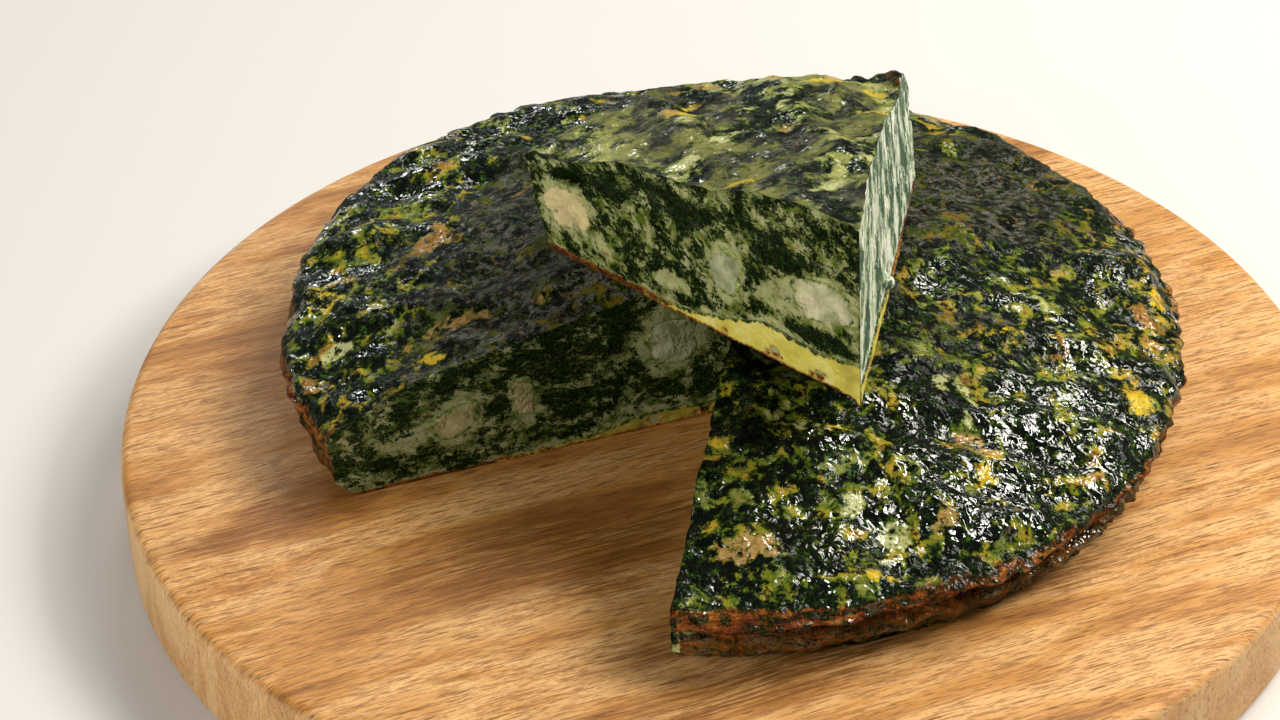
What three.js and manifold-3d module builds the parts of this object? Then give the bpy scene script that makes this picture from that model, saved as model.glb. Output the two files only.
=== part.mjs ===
// Baked spinach frittata on a round wooden board. One wedge has been cut out and lies on top.
// Millimetres, +Z up. The origin is the middle of the board's underside.
// The cut-out opens towards -X and -Y.

import * as THREE from 'three';
import Module from 'manifold-3d';
import { mergeVertices } from 'three/addons/utils/BufferGeometryUtils.js';

const wasm = await Module();
wasm.setup();

// Driving dimensions
const touchGap = 0.3;
const boardRadius = 160;
const boardThickness = 27;
const boardEdgeRadius = 3;
const boardSteps = 90;
const edgeSteps = 2;

const panRadius = 120.3;
const domeHeight = 47;
const domePower = 1.45;
const pressedFlat = { above: 45.2, keep: 0.15 };
const knifePoint = new THREE.Vector2(7, -2);
const domeCentre = new THREE.Vector2(0.2, 8);
const leftCutAngle = 201.6;
const rightCutAngle = 259.7;
const frittataSteps = 80;

// Slice: the wedge between the two cuts, with its own height, rim and lean of the second cut
const slicePoint = new THREE.Vector2(32.7, -68.6);
const sliceHeading = 109.1;
const sliceTilt = { aboutX: -1.0, aboutY: -1.8 };
const sliceSides = { secondCut: -29.3, longCut: 28 };
const sliceLean = 3.4;
const slicePower = 1.3;
const sliceHeight = 49;
const sliceRadius = 112.5;
const sliceRimHeights = { secondCut: 29.5, longCut: 27 };
const sliceSteps = 20;
const dripDepth = 2;

// Where the outline leaves the round pan: middle angle, spread and distance outwards
const outlineBumps = [
  { angle: 132, spread: 16, out: 3.4 },
  { angle: 176, spread: 9, out: -3 },
  { angle: 205, spread: 20, out: -6 },
  { angle: 52, spread: 5, out: 1.6 },
];
const sliceOutlineBumps = [
  { angle: 9, spread: 12, out: 5.5 },
  { angle: -21, spread: 12, out: -5 },
];
const rimHeight = { mean: 20.5, swing: 1.6, highestAt: 140 };

// Side of the rim from the foot upwards: distance inside the widest line and part of the rim's height
const rimSteps = [
  { inset: 7.6, level: 0 },
  { inset: 5, level: 0.1 },
  { inset: 3.2, level: 0.26 },
  { inset: 2.2, level: 0.44 },
  { inset: 1.4, level: 0.6, folded: true },
  { inset: 0.4, level: 0.74 },
  { inset: 0, level: 0.84 },
  { inset: 2.2, level: 0.98 },
];
const topInset = 6.5;
const topRings = 15;
const rimFold = { depth: 2.6, middle: 305, spread: 48, least: 0.3 };
const rimCrumple = { depth: 0.7, wave: 14, rise: 30 };
const topRelief = { broad: 0.8, broadWave: 40, fine: 0.55, fineWave: 19 };
const sliceReliefShift = 200;
const insideSpinach = [60, 15];

// Yellow egg that settled under the spinach: reach from the knife point and thickness along it
const eggReach = 72;
const eggLevels = [
  { at: 0, thick: 1 },
  { at: 0.2, thick: 0.82 },
  { at: 0.42, thick: 1 },
  { at: 0.6, thick: 0.52 },
  { at: 0.8, thick: 0.2 },
  { at: 1, thick: 0.08 },
];
const eggThickness = { longSide: 10, leftSide: 4.6 };
const dripReach = 4;
const insideEgg = { along: 30, part: 0.2 };

// Cheese cubes that the knife went through: place along the cut, height above the board, size and roundness
const cheeseAtLeftCut = [
  { along: 22, up: 26, width: 15, height: 15, depth: 12, turn: -16 },
  { along: 63, up: 18.5, width: 7, height: 13, depth: 9, turn: 8 },
  { along: 82, up: 16, width: 14, height: 10, depth: 10, turn: 24 },
];
const cheeseAtLongCut = [
  { along: 11.5, up: 23, width: 21, height: 11, depth: 9, turn: 10 },
  { along: 43.5, up: 19, width: 11, height: 14, depth: 9, turn: -12 },
  { along: 99, up: 15.5, width: 16, height: 12, depth: 10, turn: 6 },
];
const rightCutSettled = 0.8;
const cheeseSquareness = 0.62;
const cheeseDetail = 2;
const cheeseUnevenness = { part: 0.05, wave: 1.4 };
const cheeseSunk = 0.2;
const seeds = { broad: 11, fine: 23, crumple: 37, leftCheese: 51, longCheese: 61 };

// Colours
const acacia = new THREE.MeshStandardMaterial({ color: '#b98350', roughness: 0.6, metalness: 0 });
const spinach = new THREE.MeshStandardMaterial({ color: '#2b3a1c', roughness: 0.45, metalness: 0 });
const egg = new THREE.MeshStandardMaterial({ color: '#d9bb55', roughness: 0.4, metalness: 0 });
const cheese = new THREE.MeshStandardMaterial({ color: '#cfc8a4', roughness: 0.35, metalness: 0 });

const model = new THREE.Group();
const toRadians = THREE.MathUtils.degToRad;
const toDegrees = THREE.MathUtils.radToDeg;

// Repeatable random numbers between 0 and 1
function randomNumbers(seed) {
  let state = seed;
  return () => {
    state = (state * 1664525 + 1013904223) % 4294967296;
    return state / 4294967296;
  };
}

// Smooth unevenness between about -1 and 1: the mean of slanted sine waves
function unevenness(seed, wavelength) {
  const random = randomNumbers(seed);
  const waveCount = 7;
  const waves = Array.from({ length: waveCount }, () => ({
    heading: random() * Math.PI * 2,
    rate: (Math.PI * 2) / (wavelength * (0.75 + 0.6 * random())),
    phase: random() * Math.PI * 2,
  }));
  const scale = 1.6 / Math.sqrt(waveCount);
  return (x, y) => waves.reduce((sum, wave) => {
    const along = x * Math.cos(wave.heading) + y * Math.sin(wave.heading);
    return sum + scale * Math.sin(along * wave.rate + wave.phase);
  }, 0);
}

const broadRelief = unevenness(seeds.broad, topRelief.broadWave);
const fineRelief = unevenness(seeds.fine, topRelief.fineWave);
const crumple = unevenness(seeds.crumple, rimCrumple.wave);

// Height that the baked top stands above or below its smooth dome
function relief(x, y) {
  return topRelief.broad * broadRelief(x, y) + topRelief.fine * fineRelief(x, y);
}

// Bell-shaped bump round a circle, in degrees
function bell(angle, middle, spread) {
  const away = ((angle - middle + 540) % 360) - 180;
  return Math.exp(-((away / spread) ** 2));
}

// How far the outline stands out at an angle
function bumpSum(angle, bumps) {
  return bumps.reduce((sum, bump) => sum + bump.out * bell(angle, bump.angle, bump.spread), 0);
}

// Linear steps between named levels
function between(levels, at) {
  const upper = levels.findIndex((level) => level.at >= at);
  if (upper <= 0) return levels[0].thick;
  const low = levels[upper - 1];
  const high = levels[upper];
  return THREE.MathUtils.mapLinear(at, low.at, high.at, low.thick, high.thick);
}

// Whole frittata, seen from its knife point: the dome and outline are centred on domeCentre
function panRimAt(x, y) {
  const dx = x - (domeCentre.x - knifePoint.x);
  const dy = y - (domeCentre.y - knifePoint.y);
  const angle = (toDegrees(Math.atan2(dy, dx)) + 360) % 360;
  return {
    distance: Math.hypot(dx, dy),
    radius: panRadius + bumpSum(angle, outlineBumps),
    height: rimHeight.mean + rimHeight.swing * Math.cos(toRadians(angle - rimHeight.highestAt)),
  };
}

// Height of the baked top; under the slice it is pressed nearly flat
function domeTop(x, y) {
  const rim = panRimAt(x, y);
  const part = Math.min(rim.distance / rim.radius, 1);
  const height = domeHeight - (domeHeight - rim.height) * part ** domePower + relief(x, y);
  return Math.min(height, THREE.MathUtils.lerp(pressedFlat.above, height, pressedFlat.keep));
}

// Distance from the knife point to the widest line, found by closing in on it
function panReach(angle) {
  const rounds = 8;
  let reach = panRadius;
  for (let round = 0; round < rounds; round += 1) {
    const rim = panRimAt(reach * Math.cos(angle), reach * Math.sin(angle));
    reach *= rim.radius / rim.distance;
  }
  return reach;
}

// Egg thickness at a distance from the knife point; towardsLong is 1 at the long side of the slice
function eggTop(reach, towardsLong) {
  const full = THREE.MathUtils.lerp(eggThickness.leftSide, eggThickness.longSide, towardsLong);
  return full * between(eggLevels, reach / eggReach);
}

// Outline of one upright section of spinach, from the foot of the knife line out and back to its top
function spinachSection({ reach, rim, top, fold, towardsLong, uneven }) {
  const points = eggLevels.slice(0, -1).map((level) => {
    const distance = level.at * eggReach;
    return [distance, eggTop(distance, towardsLong) + touchGap];
  });
  points.push([eggReach + touchGap, eggTop(eggReach, towardsLong) + touchGap]);
  points.push([eggReach + touchGap, 0]);
  rimSteps.forEach((step) => {
    const crumpled = step.level > 0 ? rimCrumple.depth * uneven(step.level * rimCrumple.rise) : 0;
    const inset = step.inset + (step.folded ? fold : 0) + crumpled;
    points.push([reach - inset, step.level * rim]);
  });
  for (let ring = topRings; ring >= 0; ring -= 1) {
    const distance = (reach - topInset) * (ring / topRings);
    points.push([distance, top(distance)]);
  }
  return points;
}

// Outline of one upright section of the egg, with a drip under its point
function eggSection(towardsLong, drip) {
  const top = eggLevels.map((level) => [level.at * eggReach, eggTop(level.at * eggReach, towardsLong)]);
  return [[0, -drip], [dripReach, 0], [eggReach, 0], ...top.reverse()];
}

// Closed solid swept round the knife line. Each section starts and ends on that line,
// and hub is a point inside it from which all of it can be seen.
function sweptWedge({ start, end, steps, section, hub, lean = 0 }) {
  const positions = [];
  const triangles = [];
  const sections = Array.from({ length: steps + 1 }, (_, step) => section(step / steps));
  const count = sections[0].length;
  const highest = sections[0][count - 1][1];
  const addPoint = (step, [distance, height]) => {
    const along = step / steps;
    const leaned = lean * (1 - along) * (height / highest);
    const angle = THREE.MathUtils.lerp(start, end, along) + leaned;
    positions.push(distance * Math.cos(angle), distance * Math.sin(angle), height);
    return positions.length / 3 - 1;
  };
  const foot = addPoint(0, sections[0][0]);
  const head = addPoint(0, sections[0][count - 1]);
  const grid = sections.map((points, step) => points.map((point, index) => {
    if (index === 0) return foot;
    if (index === count - 1) return head;
    return addPoint(step, point);
  }));
  for (let step = 0; step < steps; step += 1) {
    for (let index = 0; index < count - 1; index += 1) {
      const a = grid[step][index];
      const b = grid[step + 1][index];
      const c = grid[step + 1][index + 1];
      const d = grid[step][index + 1];
      if (a !== b) triangles.push(a, b, c);
      if (c !== d) triangles.push(a, c, d);
    }
  }
  [0, steps].forEach((step) => {
    const centre = addPoint(step, hub(step / steps));
    const ring = grid[step];
    ring.forEach((point, index) => {
      const next = ring[(index + 1) % count];
      if (step === 0) triangles.push(centre, point, next);
      else triangles.push(centre, next, point);
    });
  });
  const geometry = new THREE.BufferGeometry();
  geometry.setAttribute('position', new THREE.Float32BufferAttribute(positions, 3));
  geometry.setIndex(triangles);
  return geometry;
}

// Closed solid for joining and cutting, and back
function toManifold(geometry) {
  const bare = geometry.clone();
  bare.deleteAttribute('normal');
  bare.deleteAttribute('uv');
  const merged = mergeVertices(bare, 1e-4);
  return new wasm.Manifold(new wasm.Mesh({
    numProp: 3,
    vertProperties: new Float32Array(merged.attributes.position.array),
    triVerts: new Uint32Array(merged.index.array),
  }));
}

function toGeometry(manifold) {
  const mesh = manifold.getMesh();
  const geometry = new THREE.BufferGeometry();
  geometry.setAttribute('position', new THREE.BufferAttribute(mesh.vertProperties, 3));
  geometry.setIndex(new THREE.BufferAttribute(mesh.triVerts, 1));
  return geometry;
}

function addPiece(parent, name, geometry, material) {
  geometry.computeVertexNormals();
  const piece = new THREE.Mesh(geometry, material);
  piece.name = name;
  parent.add(piece);
  return piece;
}

// Uneven cube with rounded corners, sitting across a cut. inwards is +1 or -1, the way into the food
// across the cut, and grow widens it on every side.
function cheeseCube(cube, cutAngle, inwards, seed, grow) {
  const uneven = unevenness(seed, cheeseUnevenness.wave);
  const geometry = new THREE.IcosahedronGeometry(1, cheeseDetail);
  const position = geometry.attributes.position;
  const half = [cube.width / 2 + grow, cube.depth / 2 + grow, cube.height / 2 + grow];
  const square = (value) => Math.sign(value) * Math.abs(value) ** cheeseSquareness;
  for (let index = 0; index < position.count; index += 1) {
    const x = position.getX(index);
    const y = position.getY(index);
    const z = position.getZ(index);
    const swell = 1 + cheeseUnevenness.part * uneven(x + 2 * z, y - z);
    const corner = [x, y, z].map((value, axis) => square(value) * half[axis] * swell);
    position.setXYZ(index, ...corner);
  }
  geometry.rotateY(toRadians(cube.turn));
  geometry.translate(cube.along, inwards * cube.depth * cheeseSunk, cube.up);
  geometry.rotateZ(cutAngle);
  return toManifold(geometry);
}

// Sets cheese cubes into one cut of the spinach, flush with it, and adds each as its own piece
function setCheese(parent, spinachSolid, cubes, { cutAngle, inwards, name, seed }) {
  return cubes.reduce((solid, cube, index) => {
    const pocket = cheeseCube(cube, cutAngle, inwards, seed + index, touchGap);
    const piece = cheeseCube(cube, cutAngle, inwards, seed + index, 0).intersect(spinachSolid);
    addPiece(parent, `${name}_${index + 1}`, toGeometry(piece), cheese);
    return solid.subtract(pocket);
  }, spinachSolid);
}

// Round board with eased edges
function addBoard() {
  const outline = new THREE.Shape();
  const inner = boardRadius - boardEdgeRadius;
  outline.moveTo(0, 0);
  outline.lineTo(inner, 0);
  outline.absarc(inner, boardEdgeRadius, boardEdgeRadius, -Math.PI / 2, 0, false);
  outline.absarc(inner, boardThickness - boardEdgeRadius, boardEdgeRadius, 0, Math.PI / 2, false);
  outline.lineTo(0, boardThickness);
  const profile = outline.getPoints(edgeSteps);
  const lathe = new THREE.LatheGeometry(profile, boardSteps);
  lathe.rotateX(Math.PI / 2);
  addPiece(model, 'board', toGeometry(toManifold(lathe)), acacia);
}

// The frittata left on the board, from the right cut round to the left cut
function addFrittata() {
  const start = toRadians(rightCutAngle);
  const end = toRadians(leftCutAngle + 360);
  const group = new THREE.Group();
  group.position.set(knifePoint.x, knifePoint.y, boardThickness + touchGap);

  const section = (part) => {
    const angle = THREE.MathUtils.lerp(start, end, part);
    const reach = panReach(angle);
    const [dx, dy] = [Math.cos(angle), Math.sin(angle)];
    const rim = panRimAt(reach * dx, reach * dy);
    const foldPart = bell(toDegrees(angle), rimFold.middle, rimFold.spread);
    return spinachSection({
      reach,
      rim: rim.height,
      top: (distance) => domeTop(distance * dx, distance * dy),
      fold: rimFold.least + rimFold.depth * foldPart,
      towardsLong: 1 - part,
      uneven: (rise) => crumple(reach * angle, rise),
    });
  };
  const sweep = { start, end, steps: frittataSteps };
  const body = sweptWedge({ ...sweep, section, hub: () => insideSpinach });
  const base = sweptWedge({
    ...sweep,
    section: (part) => eggSection(1 - part, 0),
    hub: (part) => [insideEgg.along, eggTop(0, 1 - part) * insideEgg.part],
  });

  let solid = setCheese(group, toManifold(body), cheeseAtLeftCut, {
    cutAngle: end,
    inwards: -1,
    name: 'cheese_left',
    seed: seeds.leftCheese,
  });
  const cheeseAtRightCut = cheeseAtLongCut.map((cube) => ({
    ...cube,
    up: cube.up * rightCutSettled,
    height: cube.height * rightCutSettled,
  }));
  solid = setCheese(group, solid, cheeseAtRightCut, {
    cutAngle: start,
    inwards: 1,
    name: 'cheese_right',
    seed: seeds.longCheese,
  });
  addPiece(group, 'frittata', toGeometry(solid), spinach);
  addPiece(group, 'egg_base', base, egg);
  model.add(group);
}

// Height of the slice's top above its own underside
function sliceTop(distance, angle, reach, rim) {
  const part = Math.min(distance / reach, 1);
  const [x, y] = [distance * Math.cos(angle), distance * Math.sin(angle)];
  return sliceHeight - (sliceHeight - rim) * part ** slicePower + relief(x + sliceReliefShift, y);
}

// How far the slice's underside is lifted so that it just clears the dome under it
function restHeight(group) {
  const pace = 3;
  const point = new THREE.Vector3();
  let lift = -Infinity;
  group.updateMatrixWorld(true);
  for (let step = 0; step <= sliceSteps; step += 1) {
    const degrees = THREE.MathUtils.lerp(sliceSides.secondCut, sliceSides.longCut, step / sliceSteps);
    const angle = toRadians(degrees);
    for (let distance = 0; distance <= sliceRadius; distance += pace) {
      point.set(distance * Math.cos(angle), distance * Math.sin(angle), 0).applyMatrix4(group.matrixWorld);
      const dome = domeTop(point.x - knifePoint.x, point.y - knifePoint.y);
      lift = Math.max(lift, dome + boardThickness + touchGap - point.z);
    }
  }
  return lift + 2 * touchGap;
}

// The slice, lying on the dome with its point towards the front
function addSlice() {
  const group = new THREE.Group();
  group.rotation.set(toRadians(sliceTilt.aboutX), toRadians(sliceTilt.aboutY), toRadians(sliceHeading));
  group.position.set(slicePoint.x, slicePoint.y, 0);
  group.position.z = restHeight(group);
  const start = toRadians(sliceSides.secondCut);
  const end = toRadians(sliceSides.longCut);

  const section = (part) => {
    const angle = THREE.MathUtils.lerp(start, end, part);
    const reach = sliceRadius + bumpSum(toDegrees(angle), sliceOutlineBumps);
    const rim = THREE.MathUtils.lerp(sliceRimHeights.secondCut, sliceRimHeights.longCut, part);
    return spinachSection({
      reach,
      rim,
      top: (distance) => sliceTop(distance, angle, reach, rim),
      fold: rimFold.least,
      towardsLong: part,
      uneven: (rise) => crumple(sliceReliefShift + reach * angle, rise),
    });
  };
  const sweep = { start, end, steps: sliceSteps, lean: toRadians(sliceLean) };
  const body = sweptWedge({ ...sweep, section, hub: () => insideSpinach });
  const base = sweptWedge({
    ...sweep,
    lean: 0,
    section: (part) => eggSection(part, dripDepth),
    hub: (part) => [insideEgg.along, eggTop(0, part) * insideEgg.part],
  });
  const solid = setCheese(group, toManifold(body), cheeseAtLongCut, {
    cutAngle: end,
    inwards: -1,
    name: 'slice_cheese',
    seed: seeds.longCheese,
  });
  addPiece(group, 'slice', toGeometry(solid), spinach);
  addPiece(group, 'slice_egg_base', base, egg);
  model.add(group);
}

addBoard();
addFrittata();
addSlice();

export default model;
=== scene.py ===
import bpy
import numpy as np
from mathutils import Matrix, Vector


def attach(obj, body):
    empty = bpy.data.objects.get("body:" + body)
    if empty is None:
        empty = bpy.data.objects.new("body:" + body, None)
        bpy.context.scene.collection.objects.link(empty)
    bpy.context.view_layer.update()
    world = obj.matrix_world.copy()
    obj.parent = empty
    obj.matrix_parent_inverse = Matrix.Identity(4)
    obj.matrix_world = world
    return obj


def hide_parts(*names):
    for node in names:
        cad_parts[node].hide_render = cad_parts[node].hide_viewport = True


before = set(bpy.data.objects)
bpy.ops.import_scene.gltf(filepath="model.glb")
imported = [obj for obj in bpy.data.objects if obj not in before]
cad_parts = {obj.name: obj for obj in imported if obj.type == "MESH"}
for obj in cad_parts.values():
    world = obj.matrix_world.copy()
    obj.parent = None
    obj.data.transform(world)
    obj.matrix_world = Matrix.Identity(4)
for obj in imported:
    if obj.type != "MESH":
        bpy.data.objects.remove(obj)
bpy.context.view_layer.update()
print("frame loaded:", sorted(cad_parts))

mm = 0.001
touchGap = 0.3

# Numbers shared by the frittata and its slice, in millimetres. Rim steps run from the foot up to the
# lip: how far each lies inside the outline, and its height as a share of the rim.
food = {
    "rimSteps": [
        (7.6, 0), (5, 0.1), (3.2, 0.26), (2.2, 0.44), (1.4, 0.6), (0.4, 0.74), (0, 0.84), (2.2, 0.98),
    ],
    "foldedStep": 4,
    "topInset": 6.5,
    "crumple": {"depth": 0.7, "wave": 14, "rise": 30, "seed": 37},
    "broad": {"height": 0.8, "wave": 40, "seed": 11},
    "fine": {"height": 0.55, "wave": 19, "seed": 23},
    "eggReach": 72,
    "eggLevels": [(0, 1), (0.2, 0.82), (0.42, 1), (0.6, 0.52), (0.8, 0.2), (1, 0.08)],
    "eggThickness": (4.6, 10),
    "dripReach": 4,
}


# Smooth unevenness between about -1 and 1: the sum over 7 waves of
# 1.6 / sqrt(7) sin((x cos heading + y sin heading) rate + phase)
def unevenness(seed, wavelength):
    state, waves = seed, []
    for number in range(21):
        state = (state * 1664525 + 1013904223) % 4294967296
        waves.append(state / 4294967296)
    heading, rate, phase = np.array(waves).reshape(7, 3).T
    heading, phase = heading * 2 * np.pi, phase * 2 * np.pi
    rate = 2 * np.pi / (wavelength * (0.75 + 0.6 * rate))

    def at(x, y):
        x, y = np.asarray(x, float)[..., None], np.asarray(y, float)[..., None]
        along = x * np.cos(heading) + y * np.sin(heading)
        return (1.6 / np.sqrt(7) * np.sin(along * rate + phase)).sum(-1)

    return at


broadRelief = unevenness(food["broad"]["seed"], food["broad"]["wave"])
fineRelief = unevenness(food["fine"]["seed"], food["fine"]["wave"])
rimCrumple = unevenness(food["crumple"]["seed"], food["crumple"]["wave"])


def relief(x, y):
    return food["broad"]["height"] * broadRelief(x, y) + food["fine"]["height"] * fineRelief(x, y)


# Smooth step from 0 at low to 1 at high: 3 t^2 - 2 t^3
def smooth(value, low, high):
    part = np.clip((value - low) / (high - low), 0, 1)
    return part * part * (3 - 2 * part)


# Bell round a circle in degrees: exp(-((angle - middle) / spread)^2)
def bell(angle, middle, spread):
    away = (angle - middle + 540) % 360 - 180
    return np.exp(-((away / spread) ** 2))


# One repeatable random number between 0 and 1 for each whole cell
def cellRandom(column, row, seed):
    value = np.sin(column * 127.1 + row * 311.7 + seed * 74.7) * 43758.5453
    return value - np.floor(value)


# Smooth noise from 0 to 1: cell corners' random numbers, blended by 3t^2 - 2t^3 both ways
def patchNoise(x, y, cell, seed):
    x, y = x / cell, y / cell
    column, row = np.floor(x), np.floor(y)
    across, up = x - column, y - row
    across, up = across * across * (3 - 2 * across), up * up * (3 - 2 * up)
    low = cellRandom(column, row, seed) * (1 - across) + cellRandom(column + 1, row, seed) * across
    high = cellRandom(column, row + 1, seed) * (1 - across) + cellRandom(column + 1, row + 1, seed) * across
    return low * (1 - up) + high * up


# Rough noise from 0 to 1: sum of patchNoise at cell / 2^k, each half as strong as the one before
def roughNoise(x, y, cell, seed, octaves=3):
    total, weight, sumOfWeights = 0, 1, 0
    for octave in range(octaves):
        layer = patchNoise(x + 17 * octave, y - 31 * octave, cell / 2**octave, seed + octave)
        total = total + weight * layer
        sumOfWeights += weight
        weight /= 2
    return total / sumOfWeights


# Distance, in cells, to the nearest point of a scatter with one point a cell, and that point's own
# random number
def scatter(x, y, cell, seed):
    x, y = x / cell, y / cell
    column, row = np.floor(x), np.floor(y)
    nearest, own = np.full(np.shape(x), 9.0), np.zeros(np.shape(x))
    for right in (-1, 0, 1):
        for up in (-1, 0, 1):
            a, b = column + right, row + up
            away = np.hypot(x - a - cellRandom(a, b, seed), y - b - cellRandom(a, b, seed + 5))
            own = np.where(away < nearest, cellRandom(a, b, seed + 9), own)
            nearest = np.minimum(nearest, away)
    return nearest, own


# Weights that carry a smooth curve through knots: Catmull-Rom from the second knot to the last but one
def curveWeights(knotCount, samples):
    part = samples * (knotCount - 3)
    segment = np.minimum(np.floor(part).astype(int), knotCount - 4)
    t = part - segment
    weights = np.zeros((len(samples), knotCount))
    blend = [
        (-t + 2 * t**2 - t**3) / 2, (2 - 5 * t**2 + 3 * t**3) / 2,
        (t + 4 * t**2 - 3 * t**3) / 2, (t**3 - t**2) / 2,
    ]
    for offset, amount in enumerate(blend):
        weights[np.arange(len(samples)), segment + offset] += amount
    return weights


def polar(distance, angle, height):
    return np.stack([distance * np.cos(angle), distance * np.sin(angle), height + 0 * distance * angle], -1)


# Coordinates of a place in axes that are turned by so many degrees
def turnedAxes(x, y, degrees):
    a = np.radians(degrees)
    return x * np.cos(a) + y * np.sin(a), y * np.cos(a) - x * np.sin(a)


# Rotation by so many degrees about X (0), Y (1) or Z (2)
def rotation(degrees, axis):
    a = np.radians(degrees)
    first, second = (axis + 1) % 3, (axis + 2) % 3
    matrix = np.eye(3)
    matrix[first, first] = matrix[second, second] = np.cos(a)
    matrix[first, second], matrix[second, first] = -np.sin(a), np.sin(a)
    return matrix


# Faces of a grid of points, as triangles; corners numbered from start
def gridTriangles(rows, columns, start, flipped=False):
    corner = start + np.arange(rows * columns).reshape(rows, columns)
    a, b = corner[:-1, :-1].ravel(), corner[:-1, 1:].ravel()
    c, d = corner[1:, 1:].ravel(), corner[1:, :-1].ravel()
    triangles = np.concatenate([np.stack([a, b, c], 1), np.stack([a, c, d], 1)])
    return triangles[:, ::-1] if flipped else triangles


# Joins grids into one closed surface. Points that lie in one place become one; it moves by the sum, over
# the grids that meet there, of each grid's mean push. Values carried for the materials are averaged.
def joinGrids(grids, valueNames):
    points = np.concatenate([grid["points"].reshape(-1, 3) for grid in grids])
    keys = np.round(points * 500).astype(np.int64)
    first, place = np.unique(keys, axis=0, return_index=True, return_inverse=True)[1:]
    place = place.ravel()
    count = len(first)
    moved = points[first].copy()
    values = {name: np.zeros(count) for name in valueNames}
    carried = np.zeros(count)
    triangles, materials, start = [], [], 0
    for grid in grids:
        rows, columns = grid["points"].shape[:2]
        part = place[start : start + rows * columns]
        here = np.bincount(part, minlength=count)
        if "push" in grid:
            push = grid["push"].reshape(-1, 3)
            for axis in range(3):
                moved[:, axis] += np.bincount(part, push[:, axis], count) / np.maximum(here, 1)
        for name in valueNames:
            if name in grid:
                spread = np.broadcast_to(grid[name], (rows, columns)).ravel()
                values[name] += np.bincount(part, spread, count)
        carried += here
        faces = place[gridTriangles(rows, columns, start, grid.get("flipped", False))]
        a, b, c = faces.T
        faces = faces[(a != b) & (b != c) & (a != c)]
        triangles.append(faces)
        materials.append(np.full(len(faces), grid.get("material", 0)))
        grid["place"] = part.reshape(rows, columns)
        start += rows * columns
    values = {name: value / carried for name, value in values.items()}
    return moved, np.concatenate(triangles), np.concatenate(materials), values


# Puts a surface into a piece that rides on the one body. Lids are flat many-sided faces.
def addPiece(name, points, triangles, materials, replaced, materialOf=None, values=None, lids=()):
    mesh = bpy.data.meshes.new(name)
    faces = triangles.tolist() + [list(lid) for lid in lids]
    mesh.from_pydata((np.asarray(points) * mm).tolist(), [], faces)
    for material in materials:
        mesh.materials.append(material)
    mesh.polygons.foreach_set("use_smooth", np.arange(len(faces)) < len(triangles))
    if materialOf is not None:
        numbers = np.zeros(len(faces), dtype=np.int32)
        numbers[: len(materialOf)] = materialOf
        mesh.polygons.foreach_set("material_index", numbers)
    for key, value in (values or {}).items():
        attribute = mesh.attributes.new(key, "FLOAT", "POINT")
        attribute.data.foreach_set("value", np.asarray(value, dtype=np.float32))
    mesh.validate()
    mesh.update()
    piece = bpy.data.objects.new(name, mesh)
    bpy.context.scene.collection.objects.link(piece)
    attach(piece, "root")
    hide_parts(*replaced)
    print("piece", name, len(points), "points", len(triangles), "triangles")


# One number or colour on its way through a material. Sums and products of numbers add Math nodes.
class Wire:
    def __init__(self, look, socket):
        self.look, self.socket = look, socket

    def sum(self, operation, first, second):
        return self.look.add("Math", {"operation": operation}, {0: first, 1: second})

    def __add__(self, other):
        return self.sum("ADD", self, other)

    def __radd__(self, other):
        return self.sum("ADD", other, self)

    def __sub__(self, other):
        return self.sum("SUBTRACT", self, other)

    def __rsub__(self, other):
        return self.sum("SUBTRACT", other, self)

    def __mul__(self, other):
        return self.sum("MULTIPLY", self, other)

    def __rmul__(self, other):
        return self.sum("MULTIPLY", other, self)


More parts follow.
